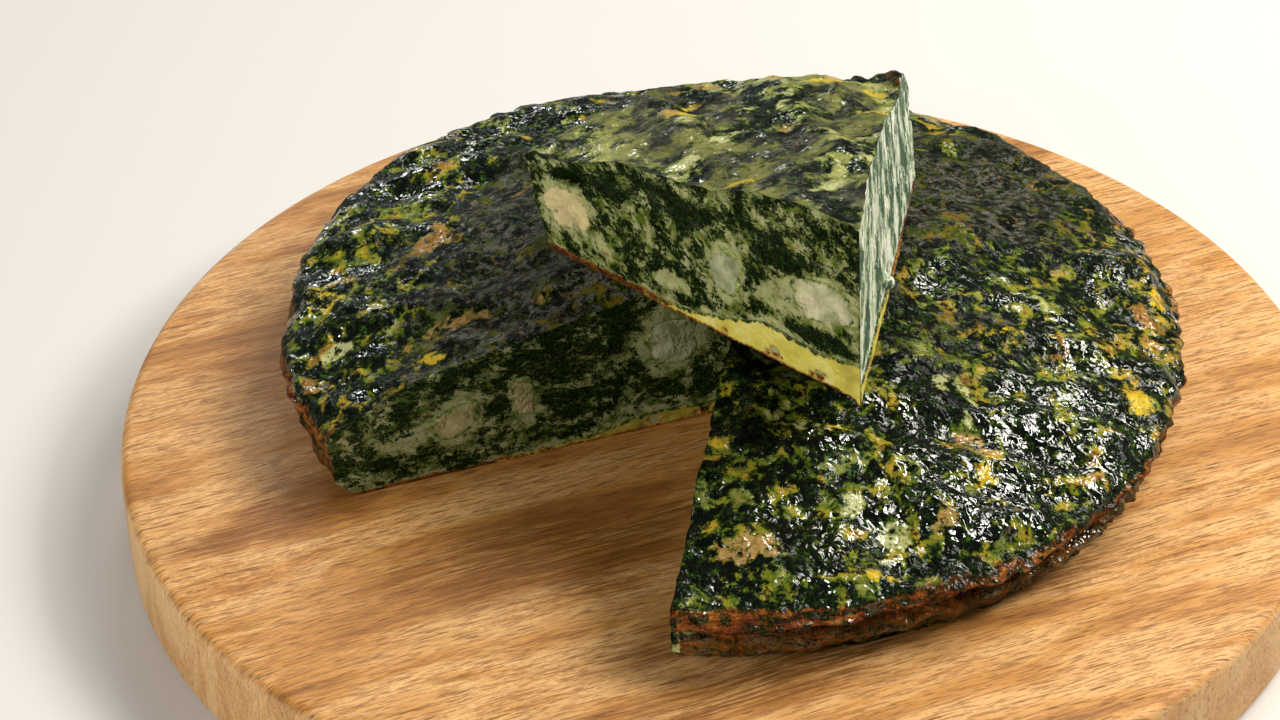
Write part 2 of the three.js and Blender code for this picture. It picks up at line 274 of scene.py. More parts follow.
# A material and the nodes in it
class Look:
    def __init__(self, name):
        self.material = bpy.data.materials.new(name)
        self.material.use_nodes = True
        self.nodes = self.material.node_tree.nodes
        self.links = self.material.node_tree.links
        self.nodes.clear()

    # Any node: its type, the settings that go first, and the values or links of its sockets
    def add(self, kind, settings=None, sockets=None, out=0):
        node = self.nodes.new("ShaderNode" + kind)
        for key, value in (settings or {}).items():
            if key == "stops":
                ramp = node.color_ramp.elements
                while len(ramp) < len(value):
                    ramp.new(0.5)
                for element, (position, colour) in zip(ramp, value):
                    element.position, element.color = position, (*colour, 1)
            else:
                setattr(node, key, value)
        for key, value in (sockets or {}).items():
            socket = node.inputs[key]
            if isinstance(value, Wire):
                self.links.new(value.socket, socket)
            elif socket.type == "RGBA":
                socket.default_value = (*value, 1)
            else:
                socket.default_value = value
        return Wire(self, node.outputs[out]) if len(node.outputs) else None

    # Object coordinates turned to a piece's own direction; one unit is the given size in millimetres
    def place(self, size, turn=(0, 0, 0), origin=(0, 0, 0)):
        coordinates = self.add("TexCoord", out="Object")
        sockets = {
            "Vector": coordinates,
            "Location": [value * mm for value in origin],
            "Rotation": [np.radians(value) for value in turn],
            "Scale": [value * mm for value in size],
        }
        return self.add("Mapping", {"vector_type": "TEXTURE"}, sockets)

    # The same place with other units: one unit becomes the given size
    def stretch(self, at, size):
        return self.add("VectorMath", {"operation": "DIVIDE"}, {0: at, 1: size})

    def noise(self, at, detail=3.0, roughness=0.55, distortion=0.0, scale=1.0):
        sockets = {"Vector": at, "Scale": scale, "Detail": detail, "Roughness": roughness}
        return self.add("TexNoise", {}, {**sockets, "Distortion": distortion})

    # Smooth step from 0 at low to 1 at high
    def step(self, value, low, high):
        sockets = {"Value": value, "From Min": low, "From Max": high}
        return self.add("MapRange", {"interpolation_type": "SMOOTHSTEP"}, sockets)

    def carried(self, name):
        return self.add("Attribute", {"attribute_name": name}, out="Fac")

    def distance(self, first, second):
        return self.add("Math", {"operation": "ABSOLUTE"}, {0: first - second})

    def mix(self, factor, first, second):
        return self.add("Mix", {"data_type": "RGBA"}, {0: factor, 6: first, 7: second}, out=2)

    def ramp(self, value, stops):
        return self.add("ValToRGB", {"stops": stops}, {0: value})

    # Pushes a place about by noise of the given size, as far as strength
    def warp(self, at, strength, detail=2.0, scale=1.0):
        sockets = {"Vector": at, "Scale": scale, "Detail": detail}
        colour = self.add("TexNoise", {}, sockets, out=1)
        centred = self.add("VectorMath", {"operation": "SUBTRACT"}, {0: colour, 1: (0.5, 0.5, 0.5)})
        sockets = {0: centred, 1: (strength, strength, strength), 2: at}
        return self.add("VectorMath", {"operation": "MULTIPLY_ADD"}, sockets)

    # Closes the material: a Principled surface with a bump of the given height in millimetres. A film is
    # a shining surface of the same colour with a smoother bump of its own, mixed in by its factor.
    def finish(self, sockets, bump, height, film=None):
        normal = self.add("Bump", {}, {"Height": bump, "Distance": height * mm})
        surface = self.add("BsdfPrincipled", {}, {**sockets, "Normal": normal})
        if film:
            factor, filmBump, filmHeight = film
            normal = self.add("Bump", {}, {"Height": filmBump, "Distance": filmHeight * mm})
            shine = self.add("BsdfPrincipled", {}, {**sockets, **wetFilm, "Normal": normal})
            surface = self.add("MixShader", {}, {0: factor, 1: surface, 2: shine})
        self.add("OutputMaterial", {}, {"Surface": surface})
        return self.material


# Stops of a ramp: where on it each named colour of a palette stands
def shades(palette, **places):
    return [(place, palette[name]) for name, place in places.items()]


# The thin film of fat and egg that shines on the food
wetFilm = {"Roughness": 0.07, "Specular IOR Level": 0.95}


# Acacia board: sizes in millimetres, grain direction in degrees, colours of the wood
board = {
    "radius": 160,
    "thickness": 27,
    "edge": 3,
    "steps": 360,
    "grain": 23,
    "shimmerTurn": 14,
    "bump": 0.14,
    "golden": (0.52, 0.237, 0.052),
    "pale": (0.70, 0.41, 0.16),
    "brown": (0.24, 0.095, 0.026),
    "reddish": (0.215, 0.080, 0.011),
    "darkLine": (0.085, 0.028, 0.008),
    "side": (0.56, 0.37, 0.18),
    # Zones: partly the wood's reddish streaks, partly painted shade in the notch and by the food's front
    # foot
    "reddishWoodAndShadeZones": [
        ((-42, -64), (62, 20), 0.95), ((-112, -52), (40, 8), 1.1), ((-128, 0), (26, 22), 0.35),
        ((-100, -30), (34, 12), 0.45), ((6, -116), (70, 12), 0.75), ((78, -74), (46, 8), 0.6),
        ((-8, -96), (30, 9), 0.85),
    ],
}


# Acacia: golden bands and lines along the grain, reddish brown zones (their places, half sizes along and
# across the grain, and strength), thin dark fibres, and a beige side. The zones are partly the wood's own
# reddish streaks and partly painted shade, in the notch and along the front foot of the food.
def acaciaLook():
    look = Look("acacia_wood")
    grain = look.place((1, 1, 1), (0, 0, board["grain"]))
    slanted = look.place((1, 1, 1), (0, 0, board["grain"] + board["shimmerTurn"]))
    swayed = look.warp(grain, 3.5, scale=1 / 45)
    bands = look.noise(look.stretch(swayed, (90, 15, 40)), detail=4, roughness=0.6, distortion=0.4)
    lines = look.noise(look.stretch(swayed, (22, 0.8, 6)), detail=6, roughness=0.8)
    fibres = look.noise(look.stretch(swayed, (6, 0.42, 2)), detail=2, roughness=0.6)
    pores = look.noise(look.stretch(swayed, (10, 0.6, 3)), detail=2, roughness=0.5)
    shimmer = look.noise(look.stretch(slanted, (7, 1.3, 9)), detail=3)
    speckle = look.noise(look.stretch(grain, (1.3, 0.8, 0.8)), detail=4, roughness=0.65)
    leftwards = look.step(look.add("SeparateXYZ", {}, {0: look.place((1, 1, 1))}), 60, -120)
    stops = shades(board, brown=0.3, golden=0.42, pale=0.55) + shades(board, golden=0.68, brown=0.8)
    wood = look.ramp(bands + 0.42 * (lines - 0.5) + 0.12 * (speckle - 0.5), stops)
    fuzzy = look.warp(swayed, 16, detail=4, scale=1 / 16)
    brown = 0
    # brown adds up the zones: reddish wood and painted shade
    for (x, y), halves, strength in board["reddishWoodAndShadeZones"]:
        middle = (*turnedAxes(x, y, board["grain"]), 0)
        away = look.add("VectorMath", {"operation": "SUBTRACT"}, {0: fuzzy, 1: middle})
        away = look.stretch(away, (*halves, 100))
        away = look.add("VectorMath", {"operation": "LENGTH"}, {0: away}, out="Value")
        brown = brown + strength * look.step(away, 1.25, 0.35)
    streaky = brown * (0.35 + 1.3 * look.step(lines, 0.38, 0.62))
    fibreMask = look.step(fibres, 0.54, 0.61)
    poreMask = look.step(pores + 0.35 * (lines - 0.5), 0.64, 0.71)
    wood = look.mix(0.5 * look.step(lines, 0.5, 0.66), wood, board["brown"])
    wood = look.mix(look.step(streaky, 0.0, 1.15), wood, board["reddish"])
    # Painted sheen: the wood's cross-grain shimmer, laid on as brown bands that grow towards the left
    wood = look.mix(0.36 * leftwards * look.step(shimmer, 0.5, 0.62), wood, board["brown"])
    wood = look.mix(0.68 * fibreMask, wood, board["brown"])
    wood = look.mix(0.22 * look.step(speckle, 0.48, 0.62), wood, board["reddish"])
    wood = look.mix(0.6 * poreMask, wood, board["darkLine"])
    upwards = look.add("SeparateXYZ", {}, {0: look.add("NewGeometry", out="Normal")}, out=2)
    onSide = look.step(upwards, 0.75, 0.35)
    sideWood = look.mix(0.35, wood, board["side"])
    sideWood = look.mix(look.step(speckle + 0.6 * (bands - 0.5), 0.42, 0.6), sideWood, board["side"])
    wood = look.mix(0.8 * onSide, wood, sideWood)
    roughness = 0.44 + 0.2 * lines + 0.1 * poreMask
    sockets = {"Base Color": wood, "Roughness": roughness, "Specular IOR Level": 0.35}
    height = 0.6 * lines + 0.2 * speckle - 0.9 * poreMask - 0.5 * fibreMask
    return look.finish(sockets, height, board["bump"])


# Round board: its profile from the middle of the underside out over the eased edges, turned round the
# middle
def makeBoard():
    edge, radius, thickness = board["edge"], board["radius"], board["thickness"]
    bend = np.linspace(0, np.pi / 2, 7)
    flat = np.linspace(0, radius - edge, 8)[:-1]
    wall = np.linspace(edge, thickness - edge, 6)[1:-1]
    out, up = radius - edge + edge * np.sin(bend), edge - edge * np.cos(bend)
    distance = np.concatenate([flat, out, np.full(len(wall), radius), out[::-1], flat[::-1]])
    height = np.concatenate([0 * flat, up, wall, thickness - up[::-1], 0 * flat + thickness])
    angle = np.linspace(0, 2 * np.pi, board["steps"] + 1)[:, None]
    grid = {"points": polar(distance, angle, height), "flipped": True}
    points, triangles, materialOf, values = joinGrids([grid], [])
    addPiece("acacia_board", points, triangles, [acaciaLook()], ["board"])


makeBoard()


# Whole frittata: its outline from the knife point, dome and rim. Angles in degrees.
frittata = {
    "panRadius": 120.3,
    "domeHeight": 47,
    "domePower": 1.45,
    "pressedAbove": 45.2,
    "pressedKeep": 0.15,
    "knifePoint": (7, -2),
    "domeCentre": (0.2, 8),
    "rightCut": 259.7,
    "leftCut": 561.6,
    "bumps": [(132, 16, 3.4), (176, 9, -3), (205, 20, -6), (52, 5, 1.6)],
    "rim": {"mean": 20.5, "swing": 1.6, "highestAt": 140},
    "fold": {"depth": 2.6, "middle": 305, "spread": 48, "least": 0.3},
    "spacing": [(250, 0.85), (345, 0.9), (400, 1.25), (490, 1.25), (515, 0.95), (565, 0.9)],
    "rings": 112,
    "rimRows": 30,
    "crumbs": [],
}

# Slice: its knife point and heading on the dome, its two cuts and its rim. Angles in degrees.
wedge = {
    "point": (32.7, -68.6),
    "heading": 109.1,
    "tilt": (-1.0, -1.8),
    "secondCut": -29.3,
    "longCut": 28,
    "lean": 3.4,
    "power": 1.3,
    "height": 49,
    "radius": 112.5,
    "rims": (29.5, 27),
    "bumps": [(9, 12, 5.5), (-21, 12, -5)],
    "cornerDrop": {"deep": 1, "share": 0.05, "from": 10, "to": 3},
    "reliefShift": 200,
    "steps": 150,
    "rings": 150,
    "rimRows": 80,
    "dripDepth": 2,
    "knob": ((44, 5.5), (3, 2.6), -2.4),
    "crumbs": [
        ((105.7, -40.3), 2.7, 2.6), ((97.5, -47), 3.6, 1.8), ((101.5, -44.5), 2.6, 1.4),
        ((93, -47), 2.2, 1.2), ((109, -31), 2.4, 0.8),
    ],
}


# Swellings and dents of an outline, in mm outwards: a sum of bells
def swelling(angle, bumps):
    return sum(out * bell(angle, middle, spread) for middle, spread, out in bumps)


# Place on the pan seen from the knife point: distance from the dome's centre, outline radius and rim
# height there
def panRim(x, y):
    dx = x - (frittata["domeCentre"][0] - frittata["knifePoint"][0])
    dy = y - (frittata["domeCentre"][1] - frittata["knifePoint"][1])
    angle = np.degrees(np.arctan2(dy, dx)) % 360
    radius = frittata["panRadius"] + swelling(angle, frittata["bumps"])
    rim = frittata["rim"]
    height = rim["mean"] + rim["swing"] * np.cos(np.radians(angle - rim["highestAt"]))
    return np.hypot(dx, dy), radius, height


# Dome: top - (top - rim) (distance / radius)^power + relief, pressed nearly flat above a height
def domeTop(x, y):
    distance, radius, rim = panRim(x, y)
    part = np.minimum(distance / radius, 1)
    fall = (frittata["domeHeight"] - rim) * part ** frittata["domePower"]
    height = frittata["domeHeight"] - fall + relief(x, y)
    pressed = frittata["pressedAbove"] + (height - frittata["pressedAbove"]) * frittata["pressedKeep"]
    return np.minimum(height, pressed)


# Distance from the knife point to the outline, closed in on along each ray
def panReach(angle):
    reach = np.full(np.shape(angle), float(frittata["panRadius"]))
    for closing in range(8):
        distance, radius, rim = panRim(reach * np.cos(angle), reach * np.sin(angle))
        reach = reach * radius / distance
    return reach


# Distance, height and run along the surface of the outer skin, one row for each angle. Columns go from
# the knife line over the top and then down the rim through its named steps to the foot.
def skinProfile(angle, reach, rim, topAt, fold, crumpleAt, rings, rimRows):
    even = np.linspace(0, 1, rings + 1)
    ringPart = even + 0.2 * even * (1 - even)
    inset, rise = food["topInset"], food["crumple"]["rise"]
    distance = (reach - inset)[:, None] * ringPart
    height = topAt(distance, angle[:, None])
    knots = [(reach - inset - 3, topAt((reach - inset - 3)[:, None], angle[:, None])[:, 0])]
    knots.append((reach - inset, height[:, -1]))
    for number, (stepInset, level) in reversed(list(enumerate(food["rimSteps"]))):
        crumpled = food["crumple"]["depth"] * crumpleAt(level * rise) if level else 0
        folded = fold if number == food["foldedStep"] else 0
        knots.append((reach - stepInset - folded - crumpled, level * rim))
    knots.append((reach - 10.5, 0 * rim))
    weights = curveWeights(len(knots), np.linspace(0, 1, rimRows + 1)[1:])
    rimDistance = np.stack([knot[0] + 0 * reach for knot in knots], 1) @ weights.T
    rimLevel = np.stack([knot[1] + 0 * reach for knot in knots], 1) @ weights.T
    distance, height = np.hstack([distance, rimDistance]), np.hstack([height, rimLevel])
    paces = np.hypot(np.diff(distance, axis=1), np.diff(height, axis=1))
    run = np.hstack([0 * reach[:, None], np.cumsum(paces, axis=1)])
    return distance, height, run


# Cut face between the knife line, the top line, the rim's profile and the foot: a Coons patch
def cutProfile(topDistance, topHeight, rings, rimRows):
    even = np.linspace(0, 1, rings + 1)
    u = (even + 0.2 * even * (1 - even))[None, :]
    v = np.linspace(0, 1, rimRows + 1)[:, None]
    rimSide = np.stack([topDistance[rings:], topHeight[rings:]], -1)[::-1][:, None]
    top = np.stack([topDistance[: rings + 1], topHeight[: rings + 1]], -1)[None]
    foot = np.stack([u[0] * rimSide[0, 0, 0], u[0] * 0], -1)[None]
    knife = np.concatenate([v * 0, v * topHeight[0]], 1)[:, None]
    u, v = u[..., None], v[..., None]
    corners = (1 - u) * v * top[:, :1] + u * (1 - v) * rimSide[:1] + u * v * rimSide[-1:]
    patch = (1 - v) * foot + v * top + (1 - u) * knife + u * rimSide - corners
    return patch[..., 0], patch[..., 1]


# Outward direction of a grid: across x along, made one long
def gridNormals(points):
    normal = np.cross(np.gradient(points, axis=1), np.gradient(points, axis=0))
    length = np.linalg.norm(normal, axis=-1, keepdims=True)
    return np.where(length > 1e-9, normal / np.maximum(length, 1e-9), (0, 0, 1))


# Named patches on the baked top, in the part's own millimetres: place, half sizes, turn and kind
frittataSpots = [
    ("brown", (-71, -13), (8.5, 4), 12), ("brown", (-47, -10), (3.5, 2.2), 20),
    ("yellow", (-75, -27), (5, 2.5), 0), ("pale", (-104, -13), (2.5, 6), -55),
    ("yellow", (-110, 12), (6, 7), 20), ("brown", (-105, 17), (4, 3), 0),
    ("brown", (-57, 46), (5, 3), 30), ("pale", (-67, 92), (8, 4), 25), ("brown", (-80, 30), (8, 4), 60),
    ("yellow", (74, -19), (6, 3), 10), ("pale", (60, -45), (4, 8), 25), ("brown", (65, -60), (5, 3), -30),
    ("yellow", (26, -61), (3.2, 2.6), 0), ("pale", (23, -63), (5, 3), -30),
    ("teal", (30, -71), (6, 4.5), 20), ("brown", (5, -100), (9, 4), -8), ("brown", (56, -89), (4, 4), 0),
    ("pale", (43, -92), (5, 3.5), 30), ("yellow", (67, -69), (3, 6), -20),
    ("yellow", (118, 16), (3, 9), 0), ("yellow", (108, -31), (4, 10), 15),
    ("brown", (106, 56), (5, 3), 0), ("brown", (92, 69), (6, 3), 30), ("yellow", (-1, -67), (4, 2.5), 0),
    ("yellow", (39, -105), (4, 2), 0), ("pale", (33, -84), (5, 3), 50), ("yellow", (-4, -92), (3, 2), 0),
    ("pale", (-16, -131), (2.3, 10), -10),
]
wedgeSpots = [
    ("pale", (87.5, -7), (6.5, 9), 0), ("pale", (103, -11.6), (4, 4.3), 0),
    ("pale", (69, 10), (4.5, 4.6), 0), ("pale", (82, 16), (3.5, 4.6), 0), ("pale", (26, -3), (4, 7), 0),
    ("pale", (59, -14), (3.5, 5), 0), ("pale", (51.6, -23), (3.5, 3), 0),
    ("pale", (36, -16.5), (4, 2.5), 0), ("pale", (60, 24), (3, 5), 0), ("brown", (68, -7), (3, 3.5), 0),
    ("brown", (94.5, 17.5), (4, 3), 0), ("yellow", (91, 15), (5, 4.5), 0),
    ("brown", (106, -16.7), (3.4, 2.4), 0), ("brown", (97, -30), (3.2, 2.4), 0),
    ("yellow", (95, -28), (4, 4), 0), ("yellow", (41, 15), (4, 4.5), 0),
    ("yellow", (102, 8.6), (2.5, 5), 0), ("brown", (103.5, 6), (2, 2.6), 0),
    ("yellow", (72, -31.5), (3.4, 4.6), 0), ("yellow", (90, -39), (3, 3), 0),
    ("brown", (112, 3), (3, 7), 0),
]


# How much of each kind of patch is at a place: smooth ellipses with noisy edges
def spotAmounts(spots, x, y, seed):
    ragged = 1.3 * (roughNoise(0.8 * x + 0.6 * y, 0.8 * y - 0.6 * x, 2.9, seed) - 0.5)
    amounts = {kind: np.zeros(np.shape(x)) for kind in ("pale", "yellow", "brown", "teal")}
    for kind, (middleX, middleY), (halfLong, halfWide), turn in spots:
        along, across = turnedAxes(x - middleX, y - middleY, turn)
        away = np.hypot(along / halfLong, across / halfWide)
        amounts[kind] = np.maximum(amounts[kind], 1 - smooth(away + ragged, 0.55, 1.25))
    return amounts


# Relief of the baked skin: the size and height of each kind in mm
skin = {
    "lumps": {"cell": 5.6, "height": 0.55, "seed": 3},
    "beads": {"cell": 2.9, "height": 0.5, "seed": 8},
    "folds": {"wave": 12, "height": 0.8, "seed": 15},
    "crags": {"wave": 4.2, "height": 1.2, "seed": 61},
    "layers": {"pitch": 3.1, "height": 0.7},
}


# Height of the baked skin in mm over its smooth form: rounded lumps and beads, sharp folds, and thin
# layers round the rim. x and y are unrolled along the surface.
def skinHeight(x, y, wet, rimPart, height):
    bentX = x + 2.2 * (roughNoise(x, y, 7, 41) - 0.5)
    bentY = y + 2.2 * (roughNoise(x, y, 7, 47) - 0.5)
    lumpAway, lumpOwn = scatter(bentX, bentY, skin["lumps"]["cell"], skin["lumps"]["seed"])
    beadAway, beadOwn = scatter(bentX, bentY, skin["beads"]["cell"], skin["beads"]["seed"])
    lump = np.sqrt(np.clip(1 - (lumpAway / 0.85) ** 2, 0, 1)) * (0.35 + 0.65 * lumpOwn)
    bead = np.sqrt(np.clip(1 - (beadAway / 0.8) ** 2, 0, 1)) * (0.3 + 0.7 * beadOwn)
    fold = 1 - np.abs(2 * roughNoise(bentX, bentY, skin["folds"]["wave"], skin["folds"]["seed"]) - 1)
    phase = height / skin["layers"]["pitch"] + 1.6 * patchNoise(x, y, 16, 52)
    layer = 1 - 2 * np.abs(np.sin(np.pi * phase)) ** 0.6
    rough = roughNoise(bentX, bentY, skin["crags"]["wave"], skin["crags"]["seed"]) - 0.5
    total = skin["lumps"]["height"] * (lump - 0.45) * (0.3 + 0.7 * wet) * (1 + 1.2 * smooth(-x, 50, 100))
    total += skin["beads"]["height"] * (bead - 0.45) * (0.35 + 0.65 * wet)
    total += skin["folds"]["height"] * (fold - 0.7) + skin["crags"]["height"] * rough
    flaky = skin["layers"]["height"] * layer * (0.4 + 0.8 * patchNoise(x, y, 21, 57))
    return total * (1 - 0.45 * rimPart) + rimPart * flaky


# Grids of one wedge of frittata: outer skin, the two cuts and, if asked, the underside
def wedgeGrids(
    part, angle, reach, rim, topAt, fold, crumpleAt, spots, shift, wetAt, lean=0, underside=False,
):
    rings, rimRows = part["rings"], part["rimRows"]
    distance, height, run = skinProfile(angle, reach, rim, topAt, fold, crumpleAt, rings, rimRows)
    along = (angle - angle[0]) / (angle[-1] - angle[0])
    leaned = angle[:, None] + lean * (1 - along)[:, None] * height / height[0, 0]
    points = polar(distance, leaned, height)
    x, y = run * np.cos(leaned) + shift[0], run * np.sin(leaned) + shift[1]
    down = np.clip((height.shape[1] - 1 - np.arange(height.shape[1])) / rimRows, 0, 1)[None, :]
    rimPart = smooth(1 - down, 0.02, 0.26) + 0 * height
    wet = wetAt(x, y)
    lift = skinHeight(x, y, wet, rimPart, height)
    partX, partY = x - shift[0], y - shift[1]
    crumb = 0 * lift
    for (crumbX, crumbY), size, high in part["crumbs"]:
        away = np.hypot(partX - crumbX, partY - crumbY) / size + 0.6 * (roughNoise(x, y, 2.5, 77) - 0.5)
        crumb = np.maximum(crumb, 1 - smooth(away, 0.3, 1.2))
        lift += high * (1 - smooth(away, 0.2, 1.3))
    settle = smooth(height, 0.0, 2.5)
    middle = smooth(run, 0.0, 3.0)
    outer = {
        "points": points,
        "push": gridNormals(points) * (lift * settle * middle)[..., None],
        "wet": wet,
        "milky": part["milky"] + 0.5 * (roughNoise(x, y, 16, 63) - 0.5),
        "amber": part["amber"](leaned) * smooth(run, reach[:, None] - 16, reach[:, None] - 4),
        "rim": rimPart,
        "level": height / rim[:, None],
        "crumb": crumb,
        "material": 0,
        "flipped": False,
    }
    outer.update(spotAmounts(spots, partX + part["spotShift"][0], partY + part["spotShift"][1], 71))
    grids = [outer]
    for row, sign in ((0, 1), (-1, -1)):
        cutDistance, cutHeight = cutProfile(distance[row], height[row], rings, rimRows)
        cutAngle = angle[row] + (lean * cutHeight / height[0, 0] if row == 0 else 0) + 0 * cutHeight
        cutPoints = polar(cutDistance, cutAngle, cutHeight)
        outwards = np.array([np.sin(angle[row]), -np.cos(angle[row]), 0]) * sign
        push, milky = part["cutSurface"](row, cutDistance, cutHeight)
        skinned = 1 - smooth(cutHeight, 0.3, part["skinThick"])
        side = {"points": cutPoints, "push": outwards * push[..., None], "milky": milky, "skinned": skinned}
        grids.append({**side, "material": 1 if row == 0 else 2, "flipped": sign < 0})
    if underside:
        even = np.linspace(0, 1, rings + 1)
        base = (even + 0.2 * even * (1 - even))[None, :] * distance[:, -1:]
        under = polar(base, angle[:, None], 0 * base)
        inside = smooth(base, 0, 4) * smooth(distance[:, -1:] - base, 0, 4)
        rise = 0.6 * roughNoise(under[..., 0], under[..., 1], 5, 81) * inside
        edges = smooth(along, 0, 0.04) * smooth(1 - along, 0, 0.04)
        push = np.array([0, 0, 1.0]) * (rise * edges[:, None])[..., None]
        grids.append({"points": under, "push": push, "material": 3, "flipped": True})
    return grids


# Relief of a cut in mm: leaf scraps and pits that follow the flow
def cutRelief(distance, height, flow, depth, seed):
    along, across = turnedAxes(distance, height, flow)
    scraps = roughNoise(along / 2.2, across, 1.9, seed, 3) - 0.5
    swell = roughNoise(distance, height, 9, seed + 7, 2) - 0.5
    return depth * (1.3 * scraps + 1.2 * swell)


# Hollows beside some of the cheese: ragged ellipses, as deep in mm as each says
def hollowDepth(distance, height, hollows):
    total = 0 * distance
    for (middle, up), (halfLong, halfHigh), deep in hollows:
        away = np.hypot((distance - middle) / halfLong, (height - up) / halfHigh)
        away = away + 0.5 * (roughNoise(distance, height, 3, 91) - 0.5)
        total = total + deep * (1 - smooth(away, 0.35, 1.0))
    return total


# How far outside the cheese cubes and the egg a place on a cut lies: 1 at their edge, more outside
def aroundFillings(distance, height, cubes, eggFull):
    away = 1 + np.maximum(height - eggFull * eggLevel(distance), 0) / 6
    for along, up, width, high, depth, turn in cubes:
        x, z = turnedAxes(distance - along, height - up, -turn)
        around = (np.abs(2 * x / width) ** 2.6 + np.abs(2 * z / high) ** 2.6) ** (1 / 2.6)
        away = np.minimum(away, around)
    return away


# Push of a cut and the milky custard round its fillings. The relief calms down beside them. Clouds are
# ragged ellipses with more custard, or more leaf where their last number is negative.
def cutSurface(distance, height, cubes, eggFull, flow, depth, hollows, seed, clouds=()):
    away = aroundFillings(distance, height, cubes, eggFull)
    push = cutRelief(distance, height, flow, depth, seed) * smooth(away, 0.95, 1.35)
    push = push - hollowDepth(distance, height, hollows)
    ragged = 0.8 * (roughNoise(distance, height, 3.4, seed + 3, 4) - 0.5)
    milky = 1 - smooth(away + ragged, 0.95, 1.5)
    for (middle, up), (halfLong, halfHigh), turn, amount in clouds:
        x, z = turnedAxes(distance - middle, height - up, turn)
        inside = 1 - smooth(np.hypot(x / halfLong, z / halfHigh) + ragged, 0.5, 1.2)
        milky = milky + inside * (amount - milky)
    return push * smooth(distance, 0, 2), milky


def eggLevel(distance):
    return np.interp(distance / food["eggReach"], *zip(*food["eggLevels"]), right=0)


# Cheese cubes: place along the cut, height, width, height and depth of the cube, and its turn
cheese = {
    "left": [(22, 26, 15, 15, 12, -16), (63, 18.5, 7, 13, 9, 8), (82, 16, 14, 10, 10, 24)],
    "long": [(11.5, 23, 21, 11, 9, 10), (43.5, 19, 11, 14, 9, -12), (99, 15.5, 16, 12, 10, 6)],
    "settled": 0.8,
    "squareness": 0.72,
    "sunk": 0.2,
    "proud": 0.4,
    "sunkEdge": 0.3,
    "rows": 72,
    "columns": 120,
}
cheese["right"] = [
    (along, up * cheese["settled"], width, high * cheese["settled"], depth, turn)
    for along, up, width, high, depth, turn in cheese["long"]
]


def frittataCut(row, distance, height):
    low, high = food["eggThickness"]
    if row == 0:
        return cutSurface(distance, height, cheese["right"], high, 15, 0.8, [], 111)
    return cutSurface(distance, height, cheese["left"], low, 12, 0.9, [], 101, frittataClouds)


def wedgeCut(row, distance, height):
    low, high = food["eggThickness"]
    if row == 0:
        return cutSurface(distance, height, [], low, 75, 0.45, [wedge["knob"]], 121)
    return cutSurface(distance, height, cheese["long"], high, 35, 0.9, wedgeHollows, 131, wedgeClouds)


frittataClouds = [
    ((96, 12), (7, 3), 4, 0.8), ((104, 4.5), (6, 1.8), 0, 0.8), ((76, 8), (6, 3), 0, 0.6),
    ((50, 27), (14, 5), 0, -0.5),
]
wedgeHollows = [((98, 24.2), (6.5, 2.8), 5.5), ((78, 26), (4, 2), 1.8)]
# The leaf-dark cloud at (98, 24.4) paints the shade in the hollow above the cream cube
wedgeClouds = [
    ((26, 19), (11, 4.2), -14, 1.1), ((12, 12.6), (12, 2.6), 0, -0.9), ((74, 22), (9, 4), 20, 0.75),
    ((62, 8), (7, 3), 0, 0.9), ((90, 10), (9, 3.5), 20, 0.6), ((98, 24.4), (6.5, 2.6), 0, -1.4),
    ((27, 33), (10, 6), 0, -0.6), ((60, 31), (13, 5), 0, -0.6), ((84, 27), (8, 3), 0, -0.7),
]

# What differs between the two parts: their cuts, the custard in their skin, the browned skin along their
# foot, and where the rim is amber
frittata["cutSurface"] = frittataCut
frittata["spotShift"] = frittata["knifePoint"]
frittata["milky"], wedge["milky"] = 0.05, 0.55
frittata["skinThick"], wedge["skinThick"] = 1.4, 3.0
frittata["amber"] = lambda angle: bell(np.degrees(angle), 5, 38) + 0.8 * bell(np.degrees(angle), 200, 25)
wedge["amber"] = lambda angle: 0.3 + 0 * angle
wedge["cutSurface"] = wedgeCut
wedge["spotShift"] = (0, 0)


# Wet and shining (1, more under the glaze) or covered by a dull dry leaf (0): wetter at the front right
# and far left
def frittataWet(x, y):
    x, y = x + frittata["knifePoint"][0], y + frittata["knifePoint"][1]
    frontRight = smooth(0.62 * x - 0.78 * y, -8, 50)
    farLeft = smooth(-0.7 * x + 0.72 * y, 78, 104)
    rimWards = smooth(np.hypot(x, y - 8), 84, 112)
    rough = roughNoise(x, y, 15, 33) - 0.5
    glaze = bell(np.degrees(np.arctan2(y, x)), -42, 24) * np.exp(-(((np.hypot(x, y - 8) - 100) / 17) ** 2))
    left = smooth(-x, 58, 100)
    back = 0.45 * bell(np.degrees(np.arctan2(y, x)), 95, 40) * smooth(np.hypot(x, y), 20, 60)
    wetness = 0.85 * frontRight + 0.95 * farLeft + 0.6 * left + 0.3 * rimWards + back + 1.4 * rough
    return np.clip(wetness, 0, 1) + 0.75 * glaze


def wedgeWet(x, y):
    rough = roughNoise(x, y, 13, 35) - 0.5
    return np.clip(0.38 + 1.4 * rough, 0, 1)


